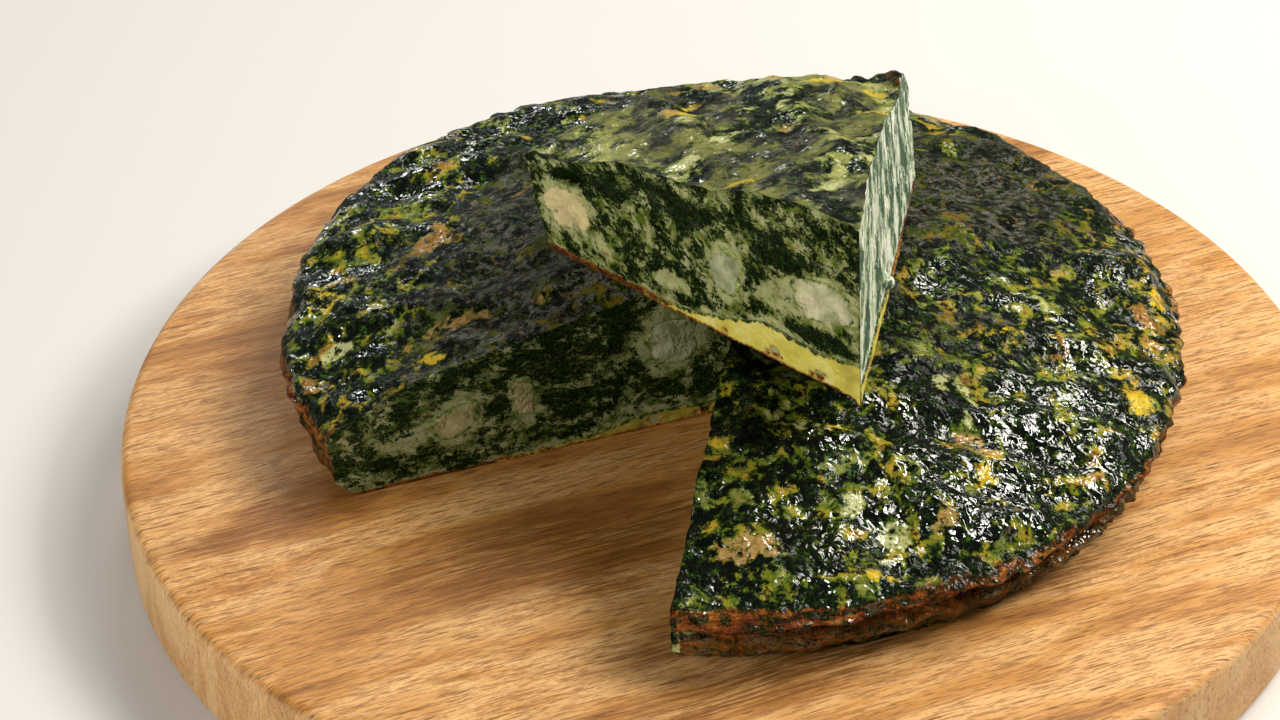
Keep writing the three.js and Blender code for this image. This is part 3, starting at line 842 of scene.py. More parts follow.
# Colours of the food
leaf = {
    "black": (0.0012, 0.0022, 0.0009),
    "dark": (0.004, 0.0095, 0.002),
    "green": (0.016, 0.042, 0.004),
    "fresh": (0.055, 0.115, 0.009),
    "slate": (0.044, 0.047, 0.036),
    # grey: the dried leaf's colour, lightened as painted sheen
    "grey": (0.27, 0.27, 0.21),
    "haze": (0.105, 0.110, 0.085),
}
custard = {
    "orange": (0.25, 0.11, 0.02),
    "golden": (0.40, 0.26, 0.028),
    "lime": (0.22, 0.222, 0.012),
    "olive": (0.085, 0.112, 0.009),
    "sage": (0.25, 0.26, 0.060),
    "pale": (0.42, 0.42, 0.13),
    "white": (0.50, 0.51, 0.25),
    "yellow": (0.62, 0.42, 0.02),
    "teal": (0.07, 0.16, 0.15),
    "tan": (0.42, 0.26, 0.095),
    "haze": (0.30, 0.31, 0.10),
}
crust = {
    "black": (0.008, 0.004, 0.0015),
    "dark": (0.045, 0.014, 0.0035),
    "red": (0.145, 0.031, 0.004),
    "orange": (0.245, 0.067, 0.008),
    "tan": (0.37, 0.16, 0.03),
    "olive": (0.075, 0.062, 0.010),
    "beige": (0.33, 0.27, 0.10),
}


# The two colours of each kind of patch
spotTones = {
    "yellow": ("golden", "yellow"),
    "pale": ("sage", "white"),
    "teal": ("teal", "sage"),
    "brown": ("orange", "tan"),
}


# Baked top and rim: dark leaf lumps in custard of changing hue, dull grey leaf where it is dry, browned
# patches, and the brown layered rim. tone runs from the blackest leaf to the custard between the lumps.
# The dry leaf's grey streaks are partly its own colour and partly painted sheen on its wrinkles.
def bakedLook():
    look = Look("baked_spinach")
    flat = look.place((1, 1, 1))
    bent = look.warp(flat, 3.2, scale=1 / 5)
    broad = look.noise(flat, detail=2, scale=1 / 17)
    middle = look.noise(bent, detail=4, roughness=0.55, distortion=0.5, scale=1 / 5.6)
    crinkled = look.warp(flat, 1.4, detail=3, scale=1 / 1.8)
    small = look.noise(crinkled, detail=3, roughness=0.58, scale=1 / 2.2)
    fine = look.noise(flat, detail=3, roughness=0.6, scale=1 / 0.6)
    turned = look.place((8, 8, 8), (0, 0, 50), (90, 40, 0))
    hues = look.noise(turned, detail=3, roughness=0.5, distortion=0.6)
    wet, rim, level = look.carried("wet"), look.carried("rim"), look.carried("level")
    milky, amber = look.carried("milky"), look.carried("amber")
    spots = {kind: look.carried(kind) for kind in spotTones}
    spotted = spots["yellow"] + spots["pale"] + spots["teal"] + spots["brown"]
    soft = look.step(milky, 0.12, 0.45)
    cloudy = look.noise(look.warp(flat, 1.2, scale=1 / 4), detail=5, roughness=0.62, scale=1 / 6.5)
    middle = middle + soft * (cloudy - middle)
    broadSwing, middleSwing, smallSwing = broad - 0.5, middle - 0.5, small - 0.5
    fineSwing, hueSwing = fine - 0.5, hues - 0.5

    tone = 1.15 * middle + (0.4 - 0.3 * milky) * smallSwing + 0.25 * fineSwing - 0.115
    tone = tone + (0.5 + 0.9 * milky) * broadSwing + 0.19 * milky + 0.13 * spotted
    hue = hues + 0.2 * smallSwing + 0.3 * milky - 0.06 + 0.03 * soft - 0.16 * amber
    stops = shades(custard, orange=0.27, golden=0.35, lime=0.44, olive=0.53, sage=0.61, pale=0.71)
    custardTone = look.mix(0.45 * soft, look.ramp(hue, stops), custard["haze"])
    speckled = look.step(small + 0.6 * hueSwing + 0.5 * fineSwing + 0.5 * (tone - 0.55), 0.4, 0.64)
    for kind, (first, second) in spotTones.items():
        mask = look.step(spots[kind] + 0.8 * middleSwing + 0.4 * smallSwing, 0.1, 0.75)
        spotTone = look.mix(speckled, custard[first], custard[second])
        custardTone = look.mix((0.85 - 0.3 * milky) * mask, custardTone, spotTone)
    custardTone = look.mix(0.4 * (1 - wet) * (0.8 - milky), custardTone, leaf["dark"])
    under = look.ramp(tone, shades(leaf, black=0.4, dark=0.47, green=0.53, fresh=0.58))
    colour = look.mix(look.step(tone, 0.485, 0.66), under, custardTone)
    pits = look.noise(look.warp(flat, 0.8, scale=1 / 1.5), detail=3, roughness=0.6, scale=1 / 1.7)
    pitMask = 0.85 * look.step(pits - 0.25 * (tone - 0.55), 0.55, 0.6) * (1 - 0.6 * soft)
    pitLeaf = look.mix(look.step(fine, 0.45, 0.6), leaf["black"], leaf["green"])
    colour = look.mix(pitMask, colour, pitLeaf)

    torn = look.warp(flat, 1.1, scale=1 / 1.6)
    scraps = look.noise(torn, detail=4, roughness=0.62, distortion=0.3, scale=1 / 2.4)
    drawn = look.warp(look.place((3.4, 1.5, 1.5), (0, 0, 28)), 0.8)
    streaks = look.noise(drawn, detail=6, roughness=0.74)
    dry = 1 - wet + 0.6 * middleSwing + 0.9 * broadSwing - 0.6 * spotted
    dry = look.step(dry, 0.42, 0.75) * (1 - rim)
    covered = scraps - 0.75 * (tone - 0.5) + 0.06 * dry - 0.7 * milky * hueSwing
    covered = look.step(covered, 0.49 - 0.1 * milky, 0.56 + 0.1 * milky)
    stops = shades(leaf, black=0.46, dark=0.55, green=0.63, fresh=0.74)
    leafTone = look.ramp(small + 0.5 * fineSwing, stops)
    # Dry leaf: slate and grey streaks, partly the dried leaf's colour, partly painted sheen on its wrinkles
    stops = shades(leaf, black=0.41, slate=0.49, grey=0.59)
    stops += shades(leaf, slate=0.67) + shades(custard, olive=0.78)
    dryLeafAndSheenTone = look.ramp(0.8 * streaks + 0.6 * middleSwing + 0.3 * fineSwing + 0.105, stops)
    leafTone = look.mix(dry, leafTone, look.mix(0.6 * milky, dryLeafAndSheenTone, leaf["haze"]))
    flecks = look.step(small + 0.5 * fineSwing + 0.4 * hueSwing, 0.53, 0.62)
    fleckTone = look.mix(look.step(hues, 0.52, 0.42), custard["olive"], custard["tan"])
    leafTone = look.mix(0.6 * dry * flecks * (1 - milky), leafTone, fleckTone)
    colour = look.mix(covered, colour, leafTone)

    glazed = look.step(wet, 0.8, 1.4)
    layers = look.noise(look.warp(look.place((13, 13, 1.3)), 0.9), detail=5, roughness=0.66)
    seam = look.step(look.distance(level + 0.1 * middleSwing, 0.66), 0.055, 0.015)
    seam = seam + look.step(look.distance(level + 0.1 * smallSwing, 0.3), 0.04, 0.01)
    rimTone = layers + 0.4 * smallSwing + 0.35 * fineSwing - 0.02 + 0.15 * amber - 0.15 * seam
    # Darker towards the rim's foot: the dark crust there, and painted shade where the rim tucks under
    rimTone = rimTone - 0.1 * look.step(level, 0.22, 0.05)
    rimColour = look.ramp(rimTone, shades(crust, black=0.34, dark=0.42, red=0.5, orange=0.6, tan=0.72))
    stops = shades(leaf, black=0.38)
    stops += shades(crust, dark=0.45, olive=0.5, red=0.57, orange=0.63, beige=0.72)
    lowTone = 0.5 * layers + 0.3 * small + 0.35 * fineSwing + 0.4 * middleSwing + 0.1
    lowMask = look.step(level + 0.5 * middleSwing - 0.25 * glazed, 0.55, 0.4)
    rimColour = look.mix(lowMask, rimColour, look.ramp(lowTone, stops))
    brownZone = look.step(level + 0.2 * amber, 1.08, 0.84)
    brownZone = brownZone * look.step(level + 0.4 * middleSwing, 0.05, 0.32)
    rimMask = rim * (0.3 + 0.8 * brownZone) + 1.3 * middleSwing + 0.6 * smallSwing
    rimMask = rimMask + 0.25 * amber * rim - 1.3 * spots["pale"] - 0.5 * glazed
    colour = look.mix(0.96 * look.step(rimMask, 0.34, 0.56), colour, rimColour)
    overLip = scraps + 0.16 * look.step(level + 0.3 * middleSwing, 0.62, 1.0)
    colour = look.mix(rim * look.step(overLip, 0.61, 0.66), colour, pitLeaf)
    crumbTone = look.ramp(small, shades(crust, black=0.42, dark=0.5, olive=0.58, orange=0.7))
    colour = look.mix(look.step(look.carried("crumb") + 0.5 * smallSwing, 0.3, 0.7), colour, crumbTone)

    clusters = look.noise(look.place((9, 9, 9), (20, 0, 10), (60, 0, 0)), detail=3)
    clusters = look.step(clusters + 0.35 * wet + 0.08 * soft - 0.35, 0.46, 0.62)
    glossy = look.step(wet + middleSwing + 0.6 * smallSwing + 0.15 * rim, 0.15, 0.75)
    glossy = glossy * (1 - 0.9 * dry * covered)
    height = 1.4 * (1 - tone) * (1 - 0.6 * dry) + 0.5 * covered + 0.7 * fine
    height = height + 3.0 * streaks * dry + (1.1 * layers - 0.5 * seam) * rim
    folds = look.noise(bent, detail=1, distortion=0.7, scale=1 / 6)
    beads = look.noise(bent, detail=1, distortion=0.5, scale=1 / 3)
    ripples = look.noise(flat, detail=1, scale=1 / 1.2)
    sparks = soft * look.step(look.noise(look.place((4, 4, 4), (0, 0, 35)), detail=2), 0.58, 0.66)
    filmPart = 0.02 + glossy * (0.1 + 0.85 * clusters) + 0.7 * sparks
    film = (filmPart, folds + 0.4 * beads + 0.1 * ripples, 2.3)
    sockets = {"Base Color": colour, "Roughness": 0.55, "Specular IOR Level": 0.06}
    return look.finish(sockets, height, 1.4, film)


# Leaf at the cuts, moister and greener than on top
cutLeaf = {
    "black": (0.0015, 0.0045, 0.001),
    "dark": (0.006, 0.018, 0.003),
    "green": (0.024, 0.070, 0.008),
    "fresh": (0.09, 0.195, 0.016),
}


# Cut through the food: torn leaf and custard shade into each other, drawn out along the flow. The turn
# brings the pattern's first direction onto the cut and lifts it by the flow. share shifts the balance from
# leaf to custard, and a haze lightens the leaf: on the narrow cut a pale veil, made paler as painted
# light. glimmer paints small highlights on the leaf, in fresh green or pale custard.
def cutLook(name, cutAngle, flow, share, grain, streak, tones, clumping=0.6, haze=None):
    look = Look(name)
    turn = (0, -flow, cutAngle)
    even = look.place((grain * streak, grain, grain), turn)
    bent = look.warp(look.warp(even, 1.6, scale=0.22), 0.7, scale=0.9)
    clumps = look.noise(bent, detail=2, scale=0.17 * grain)
    scraps = look.noise(bent, detail=6, roughness=0.7, distortion=0.9, scale=0.5)
    shreds = look.noise(look.warp(bent, 0.3, detail=2, scale=4), detail=4, roughness=0.7, scale=1.9)
    elsewhere = look.place((grain * streak, grain, grain), turn, (40, 10, 5))
    swirl = look.noise(elsewhere, detail=4, distortion=0.7, scale=0.3)
    fine = look.noise(look.place((0.5, 0.4, 0.4), turn), detail=2, roughness=0.7)
    milky, skinned = look.carried("milky"), look.carried("skinned")
    fineSwing, shredSwing = fine - 0.5, shreds - 0.5
    tone = scraps + clumping * (clumps - 0.5) + 0.4 * shredSwing + 0.25 * fineSwing + 0.2 * milky + share
    leafTone = 0.6 * shreds + 0.4 * tone + 0.4 * fineSwing + 0.3 * (swirl - 0.5)
    leafColour = look.ramp(leafTone, shades(cutLeaf, black=0.43, dark=0.5, green=0.57, fresh=0.66))
    custardTone = swirl + 0.4 * (tone - 0.5) + 0.3 * shredSwing + 0.06 * milky
    custardColour = look.ramp(custardTone, list(zip((0.36, 0.45, 0.53, 0.65), tones)))
    # Painted highlights: small bright flecks on the leaf
    glimmer = look.step(look.noise(look.place((1.3, 0.8, 0.8), turn), detail=3, roughness=0.7), 0.57, 0.66)
    glimmerColour = look.mix(look.step(swirl, 0.42, 0.58), cutLeaf["fresh"], tones[1])
    leafColour = look.mix(0.5 * glimmer, leafColour, glimmerColour)
    shredColour = look.mix(look.step(fine, 0.42, 0.56), cutLeaf["dark"], cutLeaf["green"])
    if haze:
        leafColour = look.mix(0.6, leafColour, haze)
        shredColour = look.mix(0.5, shredColour, haze)
    colour = look.mix(look.step(tone, 0.505, 0.54), leafColour, custardColour)
    torn = look.step(shreds + 0.3 * (0.5 - tone) + 0.3 * fineSwing, 0.56, 0.6)
    colour = look.mix(0.8 * torn * look.step(milky, 1.1, 0.3), colour, shredColour)
    stops = shades(crust, dark=0.4, red=0.48, orange=0.54, tan=0.64)
    skinColour = look.ramp(scraps + 0.3 * fineSwing, stops)
    skinMask = look.step(skinned + 1.2 * (clumps - 0.5) + 2.4 * (scraps - 0.5), 0.4, 0.6)
    colour = look.mix(skinMask, colour, skinColour)
    height = 1.5 * tone + 0.9 * shreds + 0.5 * fine - 0.4 * torn
    beads = look.noise(look.place((1.1, 1.1, 1.1)), detail=1)
    film = (0.08 + 0.4 * look.step(clumps, 0.4, 0.65), scraps + 0.8 * beads, 1.3)
    sockets = {"Base Color": colour, "Roughness": 0.5, "Specular IOR Level": 0.05}
    return look.finish(sockets, height, 0.8, film)


# Custard at the cuts, from its darkest to its palest, and the pale green veil on the narrow cut.
# shadedTones are a darker copy for the frittata's cuts, painted shade; the narrow cut's tones and veil are
# its pale custard smear, made paler still as painted light.
shadedTones = ((0.035, 0.07, 0.008), (0.08, 0.12, 0.02), (0.17, 0.205, 0.055), (0.36, 0.375, 0.18))
cutTones = ((0.10, 0.18, 0.012), (0.16, 0.225, 0.030), (0.29, 0.335, 0.09), (0.54, 0.57, 0.26))
paleSmearAndPaintedLightTones = ((0.24, 0.39, 0.20), (0.46, 0.61, 0.36), (0.79, 0.85, 0.60), (0.97, 0.98, 0.84))
paleVeilAndPaintedLight = (0.13, 0.24, 0.14)


# Browned thin skin under the slice
def underLook():
    look = Look("browned_underside")
    place = look.warp(look.place((1, 1, 1)), 2, scale=0.3)
    broad = look.noise(place, detail=4, scale=1 / 8)
    fine = look.noise(place, detail=4, scale=1 / 1.4)
    stops = shades(leaf, dark=0.3) + shades(crust, red=0.45, orange=0.55) + shades(custard, olive=0.68)
    colour = look.ramp(broad, stops)
    colour = look.mix(0.6 * look.step(fine, 0.5, 0.62), colour, leaf["dark"])
    return look.finish({"Base Color": colour, "Roughness": 0.42 + 0.1 * fine}, fine, 0.3)


# Angles whose steps at the outline follow the spacing that is asked for at some of them
def spacedAngles(first, last, spacing):
    fineAngle = np.linspace(first, last, 4001)
    pace = np.interp(fineAngle, *zip(*spacing))
    steps = np.radians(np.diff(fineAngle)) * frittata["panRadius"] / pace[1:]
    gone = np.concatenate([[0], np.cumsum(steps)])
    return np.radians(np.interp(np.linspace(0, gone[-1], int(gone[-1]) + 1), gone, fineAngle))


carriedValues = ["wet", "rim", "level", "milky", "skinned", "amber", "crumb", *spotTones]


def makeFrittata(baked):
    angle = spacedAngles(frittata["rightCut"], frittata["leftCut"], frittata["spacing"])
    reach = panReach(angle)
    rim = panRim(reach * np.cos(angle), reach * np.sin(angle))[2]
    foldPart = bell(np.degrees(angle), frittata["fold"]["middle"], frittata["fold"]["spread"])
    fold = frittata["fold"]["least"] + frittata["fold"]["depth"] * foldPart
    grids = wedgeGrids(
        frittata, angle, reach, rim,
        lambda distance, turn: domeTop(distance * np.cos(turn), distance * np.sin(turn)),
        fold, lambda rise: rimCrumple(reach * angle, rise + 0 * angle),
        frittataSpots, (0, 0), frittataWet,
    )
    points, triangles, materialOf, values = joinGrids(grids, carriedValues)
    outer, right, left = [grid["place"] for grid in grids]
    lid = np.concatenate([right[0][:-1], outer[:, -1], left[0][::-1][1:-1]])[::-1]
    points += (*frittata["knifePoint"], board["thickness"] + touchGap)
    materials = [
        baked,
        # The frittata's cuts take the darker shadedTones: painted shade
        cutLook("right_cut", frittata["rightCut"], 15, -0.02, 1.1, 1.4, shadedTones),
        cutLook("left_cut", frittata["leftCut"], 12, -0.005, 1.1, 1.4, shadedTones),
    ]
    addPiece(
        "spinach_frittata", points, triangles, materials, ["frittata"],
        materialOf, values, [lid],
    )


baked = bakedLook()
makeFrittata(baked)


# Rotation of the slice: its heading about Z first, then the small tilts. restHeight finds how high its
# point lies once it rests on the dome.
def wedgeTurn():
    return rotation(wedge["tilt"][0], 0) @ rotation(wedge["tilt"][1], 1) @ rotation(wedge["heading"], 2)


def restHeight(turn):
    angle = np.radians(np.linspace(wedge["secondCut"], wedge["longCut"], 21))[:, None]
    distance = np.arange(0, wedge["radius"] + 0.01, 3)
    points = polar(distance, angle, 0) @ turn.T + (*wedge["point"], 0)
    dome = domeTop(points[..., 0] - frittata["knifePoint"][0], points[..., 1] - frittata["knifePoint"][1])
    return (dome + board["thickness"] + touchGap - points[..., 2]).max() + 2 * touchGap


turnOfWedge = wedgeTurn()
placeOfWedge = np.array([*wedge["point"], restHeight(turnOfWedge)])


def onDome(points):
    return points @ turnOfWedge.T + placeOfWedge


def makeWedge(baked):
    angle = np.radians(np.linspace(wedge["secondCut"], wedge["longCut"], wedge["steps"] + 1))
    part = np.linspace(0, 1, wedge["steps"] + 1)
    reach = wedge["radius"] + swelling(np.degrees(angle), wedge["bumps"])
    fullRim = wedge["rims"][0] + (wedge["rims"][1] - wedge["rims"][0]) * part
    corner = wedge["cornerDrop"]
    drop = corner["deep"] * (1 - smooth(part, 0, corner["share"]))
    rim = fullRim - drop

    def topAt(distance, turn):
        x, y = distance * np.cos(turn), distance * np.sin(turn)
        fall = np.minimum(distance / reach[:, None], 1) ** wedge["power"]
        sunk = drop[:, None] * smooth(reach[:, None] - distance, corner["from"], corner["to"])
        height = wedge["height"] - (wedge["height"] - fullRim[:, None]) * fall - sunk
        return height + relief(x + wedge["reliefShift"], y)

    grids = wedgeGrids(
        wedge, angle, reach, rim, topAt, frittata["fold"]["least"],
        lambda rise: rimCrumple(wedge["reliefShift"] + reach * angle, rise + 0 * angle),
        wedgeSpots, (wedge["reliefShift"], 0), wedgeWet, np.radians(wedge["lean"]), True,
    )
    points, triangles, materialOf, values = joinGrids(grids, carriedValues)
    heading = wedge["heading"]
    materials = [
        baked,
        # Narrow cut: pale custard smear and veil, made paler as painted light
        cutLook("narrow_cut", heading + wedge["secondCut"], 78, 0.04, 1.0, 2.2, paleSmearAndPaintedLightTones, 1.0, paleVeilAndPaintedLight),
        cutLook("long_cut", heading + wedge["longCut"], 24, -0.005, 1.0, 1.25, cutTones),
        underLook(),
    ]
    placed = onDome(points)
    addPiece("frittata_slice", placed, triangles, materials, ["slice"], materialOf, values)


makeWedge(baked)


# Yellow egg that settled under the spinach. A bubble is its place along the cut, its height and its radius.
egg = {
    "rings": 150,
    "steps": 44,
    "rows": 22,
    "proud": 0.25,
    "wave": 0.7,
    "bubbles": [
        (13, 1.7, 1.5), (15.6, 1.2, 0.9), (11.2, 2.6, 0.7), (27.5, 2.2, 1.7), (30, 1.3, 0.9),
        (25.4, 1.3, 0.8), (44, 1.5, 1), (7, 4.5, 0.6),
    ],
    "set": ((0.40, 0.36, 0.06), (0.55, 0.485, 0.08), (0.61, 0.56, 0.12), (0.69, 0.65, 0.24)),
    # Tones of the egg under the frittata: a darker copy of the set egg, painted shade
    "inPaintedShade": ((0.11, 0.10, 0.012), (0.22, 0.19, 0.022), (0.33, 0.28, 0.04), (0.44, 0.39, 0.09)),
    "ring": (0.34, 0.17, 0.03),
    "bubbleDepth": 0.8,
}


# Set egg: leaf smears over its upper edge, a browned skin along its foot, brown rings round its bubbles
def eggLook(name, tones):
    look = Look(name)
    place = look.warp(look.place((1, 1, 1)), 1.5, scale=0.3)
    broad = look.noise(place, detail=3, scale=1 / 9)
    fine = look.noise(place, detail=3, scale=1 / 1.2)
    scraps = look.noise(look.warp(place, 0.8, scale=0.9), detail=5, roughness=0.7, scale=1 / 2.4)
    below, above, ring = look.carried("below"), look.carried("above"), look.carried("ring")
    colour = look.ramp(broad + 0.1 * (fine - 0.5), list(zip((0.32, 0.44, 0.56, 0.7), tones)))
    colour = look.mix(0.3 * look.step(fine, 0.55, 0.7), colour, tones[0])
    colour = look.mix(0.75 * look.step(ring + 0.5 * (fine - 0.5), 0.2, 0.75), colour, egg["ring"])
    smeared = look.step(below + 4.5 * (scraps - 0.5), 0.9, 0.4)
    stops = shades(cutLeaf, dark=0.4, green=0.48) + shades(custard, olive=0.54, sage=0.6)
    smearColour = look.ramp(scraps + 0.5 * (fine - 0.5), stops)
    colour = look.mix(smeared, colour, smearColour)
    skinColour = look.ramp(fine, shades(crust, red=0.4, orange=0.52) + shades(custard, golden=0.62))
    colour = look.mix(look.step(above + 1.6 * (scraps - 0.5), 0.75, 0.3), colour, skinColour)
    sockets = {
        "Base Color": colour,
        "Roughness": 0.45,
        "Specular IOR Level": 0.2,
        "Subsurface Weight": 0.25,
        "Subsurface Radius": (1.0, 0.55, 0.2),
        "Subsurface Scale": 0.002,
    }
    film = (0.5, look.noise(place, detail=1, scale=1 / 2.2), 0.6)
    return look.finish(sockets, 0.5 * fine + 0.5 * broad + 0.6 * smeared, 0.4, film)


# Egg under one wedge: thickness = full(angle) x level(distance), sides proud of the cuts, a drip under its
# point
def makeEgg(name, first, last, towardsLong, drip, place, replaced, material):
    steps, rings, rows = egg["steps"], egg["rings"], egg["rows"]
    part = np.linspace(0, 1, steps + 1)
    angle = np.radians(first + (last - first) * part)
    distance = np.linspace(0, food["eggReach"], rings + 1)
    level = np.interp(distance / food["eggReach"], *zip(*food["eggLevels"]))
    soft = np.convolve(np.pad(level, 6, mode="edge"), np.ones(13) / 13, "valid")
    low, high = food["eggThickness"]
    full = low + (high - low) * towardsLong(part)
    top = full[:, None] * soft[None, :]
    uneven = roughNoise(distance[None, :] + 0 * top, np.degrees(angle)[:, None] + 0 * top, 6, 141) - 0.5
    top = top + 0.9 * uneven * smooth(distance, 0, 6)
    under = -drip * np.clip(1 - distance / food["dripReach"], 0, 1)[None, :] ** 2 + 0 * top
    grids = []
    topPoints, underPoints = polar(distance, angle[:, None], top), polar(distance, angle[:, None], under)
    grids.append({"points": topPoints})
    grids.append({"points": underPoints, "flipped": True})
    share = np.linspace(0, 1, rows + 1)[:, None, None]
    for row, sign in ((0, 1), (-1, -1)):
        side = underPoints[row] * (1 - share) + topPoints[row] * share
        s, z = np.hypot(side[..., 0], side[..., 1]), side[..., 2]
        outwards = np.array([np.sin(angle[row]), -np.cos(angle[row]), 0]) * sign
        bulge = egg["proud"] + egg["wave"] * (roughNoise(s, z, 5, 151) - 0.35)
        ring = 0 * s
        for along, up, radius in egg["bubbles"]:
            away = np.hypot(s - along, z - up) / radius
            bulge = bulge - egg["bubbleDepth"] * radius * (1 - smooth(away, 0.5, 1))
            ring = np.maximum(ring, 1 - np.clip(np.abs(away - 1) / 0.4, 0, 1))
        below, above = topPoints[row][..., 2] - z, z - underPoints[row][..., 2]
        side = {"points": side, "push": outwards * bulge[..., None], "flipped": sign < 0}
        grids.append({**side, "below": below, "above": above, "ring": ring})
    end = underPoints[:, -1] * (1 - share) + topPoints[:, -1] * share
    grids.append({"points": end.transpose(1, 0, 2)})
    points, triangles, materialOf, values = joinGrids(grids, ["below", "above", "ring"])
    addPiece(name, place(points), triangles, [material], replaced, values=values)


def onBoard(points):
    return points + (*frittata["knifePoint"], board["thickness"] + touchGap)


makeEgg(
    "egg_under_slice", wedge["secondCut"], wedge["longCut"], lambda part: part, wedge["dripDepth"],
    onDome, ["slice_egg_base"], eggLook("set_egg", egg["set"]),
)
# The egg under the frittata takes the darker tones: painted shade
makeEgg(
    "egg_under_frittata", frittata["rightCut"], frittata["leftCut"], lambda part: 1 - part, 0,
    onBoard, ["egg_base"], eggLook("egg_in_painted_shade", egg["inPaintedShade"]),
)


# Cheese: clear where it melted and creamy where it held; leaf and custard smear over its edge at the cut
def cheeseLook(name, clear, cream, smear, tones):
    look = Look(name)
    flat = look.place((1, 1, 1))
    place = look.warp(flat, 1.2, scale=0.35)
    broad = look.noise(place, detail=3, roughness=0.55, scale=1 / 5)
    fine = look.noise(flat, detail=4, roughness=0.65, scale=1 / 0.9)
    scraps = look.noise(look.warp(flat, 0.8, scale=0.9), detail=6, roughness=0.7, scale=1 / 2.4)
    colour = look.ramp(broad + 0.1 * (fine - 0.5), [(0.36, clear), (0.66, cream)])
    smeared = look.step(smear * look.carried("edge") + 1.6 * (scraps - 0.5), 0.36, 0.56)
    torn = look.noise(look.warp(flat, 0.6, scale=1.1), detail=4, roughness=0.7, scale=1 / 1.5)
    stops = shades(cutLeaf, dark=0.36, green=0.41) + list(zip((0.46, 0.56, 0.68), tones[1:]))
    smearColour = look.ramp(torn, stops)
    colour = look.mix(smeared, colour, smearColour)
    sockets = {
        "Base Color": colour,
        "Roughness": 0.45,
        "Specular IOR Level": 0.2,
        "Subsurface Weight": 0.3,
        "Subsurface Radius": (1.0, 0.8, 0.5),
        "Subsurface Scale": 0.0025,
    }
    clusters = look.step(look.noise(flat, detail=2, scale=1 / 6), 0.42, 0.56)
    film = (0.15 + 0.75 * clusters, look.noise(flat, detail=2, scale=1 / 1.2), 1.7)
    return look.finish(sockets, broad + 0.2 * fine + 0.3 * smeared, 0.8, film)


# Rounded uneven cube: each direction's sine and cosine to the power of squareness, times half its size. The
# side that comes through the cut is drawn in to lie just proud of it.
def cheeseCube(name, cube, cutAngle, inwards, seed, place, replaced, material, otherCut=None):
    along, up, width, height, depth, turn = cube
    tilt = np.linspace(-np.pi / 2, np.pi / 2, cheese["rows"] + 1)[:, None]
    around = np.linspace(0, 2 * np.pi, cheese["columns"] + 1)[None, :]
    direction = polar(np.cos(tilt), around, np.sin(tilt))
    direction[np.abs(direction) < 1e-9] = 0
    direction[:, -1] = direction[:, 0]
    bumpAt = unevenness(seed, 2.2)
    x, y, z = direction[..., 0], direction[..., 1], direction[..., 2]
    bumpy = 1 + 0.06 * bumpAt(x + 2 * z, y - z)
    bumpy[0], bumpy[-1] = bumpy[0, 0], bumpy[-1, 0]
    half = np.array([width / 2, depth / 2, height / 2])
    points = np.sign(direction) * np.abs(direction) ** cheese["squareness"] * half * bumpy[..., None]
    x, z = turnedAxes(points[..., 0], points[..., 2], turn)
    points = np.stack([x, points[..., 1], z], -1) + (along, inwards * depth * cheese["sunk"], up)
    out = -inwards * points[..., 1]
    dent = 0.13 * unevenness(seed + 3, 7)(points[..., 0], points[..., 2])
    rimOfCube = smooth(np.hypot(direction[..., 0], direction[..., 2]), 0.45, 1)
    drawn = (cheese["proud"] + cheese["sunkEdge"] + dent) * (1 - np.exp(-out / 1.1))
    points[..., 1] = -inwards * (np.where(out > 0, drawn, out) - cheese["sunkEdge"])
    x, y = turnedAxes(points[..., 0], points[..., 1], -cutAngle)
    points = np.stack([x, y, points[..., 2]], -1)
    if otherCut is not None:
        other = np.radians(otherCut)
        outwards = np.array([np.sin(other), -np.cos(other), 0])
        beyond = points @ outwards
        points = points - outwards * np.where(beyond > 0, beyond - 0.25 * np.tanh(beyond), 0)[..., None]
    points, triangles, materialOf, values = joinGrids([{"points": points, "edge": rimOfCube}], ["edge"])
    addPiece(name, place(points), triangles, [material], replaced, values=values)


creamCheese = cheeseLook("cream_cheese", (0.50, 0.42, 0.19), (0.66, 0.56, 0.28), 0.5, cutTones)
meltedCheese = cheeseLook("melted_cheese", (0.14, 0.17, 0.075), (0.40, 0.42, 0.25), 0.8, cutTones)
# Cheese at the frittata's cuts: the beige cheese is its beige tint made darker as painted shade; it and the
# clear cheese take shadedTones for their smear, painted shade
beigeCheeseInPaintedShade = cheeseLook("beige_cheese_in_painted_shade", (0.16, 0.18, 0.065), (0.38, 0.33, 0.17), 0.85, shadedTones)
clearCheese = cheeseLook("clear_cheese", (0.15, 0.18, 0.085), (0.44, 0.45, 0.28), 0.8, shadedTones)
tipCheese = cheeseLook("tip_cheese", (0.30, 0.33, 0.17), (0.62, 0.59, 0.36), 0.7, cutTones)
for number, cube in enumerate(cheese["long"]):
    material = (tipCheese, meltedCheese, creamCheese)[number]
    cheeseCube(
        f"cheese_in_slice_{number + 1}", cube, wedge["longCut"], -1, 61 + number, onDome,
        [f"slice_cheese_{number + 1}"], material, wedge["secondCut"] + wedge["lean"] * 0.5,
    )
    cheeseCube(
        f"cheese_at_right_{number + 1}", cheese["right"][number], frittata["rightCut"], 1, 61 + number,
        onBoard, [f"cheese_right_{number + 1}"], clearCheese,
    )
for number, cube in enumerate(cheese["left"]):
    cheeseCube(
        f"cheese_at_left_{number + 1}", cube, frittata["leftCut"], -1, 51 + number, onBoard,
        [f"cheese_left_{number + 1}"], beigeCheeseInPaintedShade if number else clearCheese,
    )


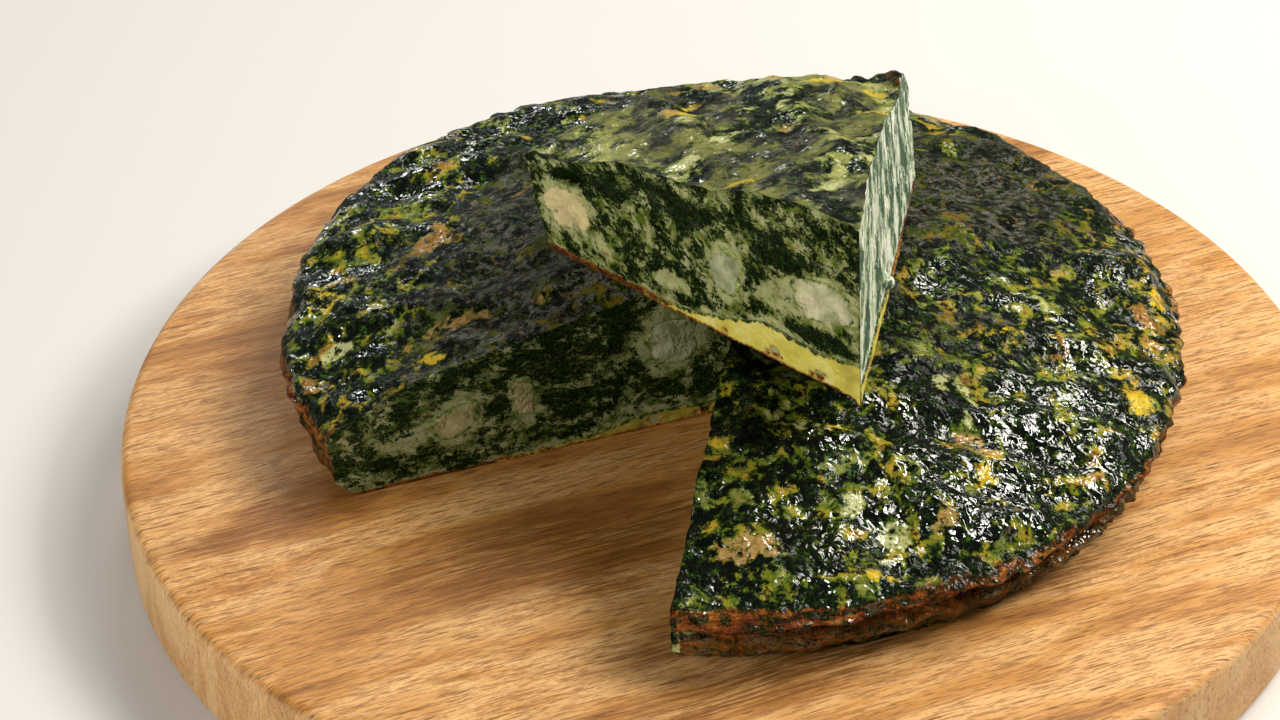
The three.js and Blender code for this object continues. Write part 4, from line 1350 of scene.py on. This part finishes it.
# Floor, lamps and camera, in metres, watts and degrees. A lamp is its place, size, power and colour, and
# whether it is seen in reflections.
studio = {
    "floor": (0.62, 0.60, 0.57),
    "lamps": {
        "key": ((0.78, 0.02, 0.80), 0.36, 11.9, (1.0, 0.965, 0.91), True),
        "window": ((-0.10, 1.05, 0.90), 0.34, 3.6, (0.97, 0.985, 1.0), True),
        "panel": ((0.52, 0.42, 0.98), 0.50, 8.6, (1.0, 0.95, 0.86), True),
        "fill": ((-0.6, -0.9, 0.6), 0.9, 9.5, (1.0, 0.97, 0.93), False),
        "side": ((-1.0, -0.25, 0.24), 0.08, 1.9, (1.0, 0.98, 0.95), True),
        "low": ((-0.55, 1.25, 0.30), 0.24, 2.2, (0.97, 0.985, 1.0), True),
    },
    "sky": 0.05,
}
camera = {"lens": 90, "sensor": 36, "distance": 0.853, "elevation": 36.169, "pan": -1.511, "tilt": -0.694}


def makeStudio():
    mesh = bpy.data.meshes.new("floor")
    mesh.from_pydata([(-4, -4, 0), (4, -4, 0), (4, 4, 0), (-4, 4, 0)], [], [(0, 1, 2, 3)])
    floor = bpy.data.objects.new("floor", mesh)
    look = Look("pale_floor")
    grain = look.noise(look.place((30, 30, 30)), detail=2)
    mesh.materials.append(look.finish({"Base Color": studio["floor"], "Roughness": 0.7}, grain, 0.02))
    bpy.context.scene.collection.objects.link(floor)
    for name, (place, size, watts, colour, shines) in studio["lamps"].items():
        light = bpy.data.lights.new(name, "AREA")
        light.shape, light.size, light.energy, light.color = "SQUARE", size, watts, colour
        lamp = bpy.data.objects.new(name, light)
        lamp.location = place
        towards = Vector((0, 0, 0.05)) - lamp.location
        lamp.rotation_euler = towards.to_track_quat("-Z", "Y").to_euler()
        lamp.visible_glossy = shines
        bpy.context.scene.collection.objects.link(lamp)
    world = bpy.data.worlds.new("soft_room")
    world.use_nodes = True
    world.node_tree.nodes["Background"].inputs["Color"].default_value = (1, 0.98, 0.95, 1)
    world.node_tree.nodes["Background"].inputs["Strength"].default_value = studio["sky"]
    bpy.context.scene.world = world


# The camera stands back from the board's middle along its line of sight, then turns a little aside and down
def makeCamera():
    elevation = np.radians(camera["elevation"])
    back = np.array([0, -np.cos(elevation), np.sin(elevation)])
    right = np.array([1, 0, 0])
    axes = np.stack([right, np.cross(back, right), back])
    axes = rotation(camera["tilt"], 0) @ rotation(camera["pan"], 1) @ axes
    data = bpy.data.cameras.new("camera")
    data.lens, data.sensor_width = camera["lens"], camera["sensor"]
    eye = bpy.data.objects.new("camera", data)
    world = np.eye(4)
    world[:3, :3] = axes.T
    world[:3, 3] = back * camera["distance"] + (0, 0, board["thickness"] * mm)
    eye.matrix_world = Matrix(world.tolist())
    bpy.context.scene.collection.objects.link(eye)
    bpy.context.scene.camera = eye


makeStudio()
makeCamera()
bpy.context.scene.view_settings.view_transform = "Standard"

print("done")
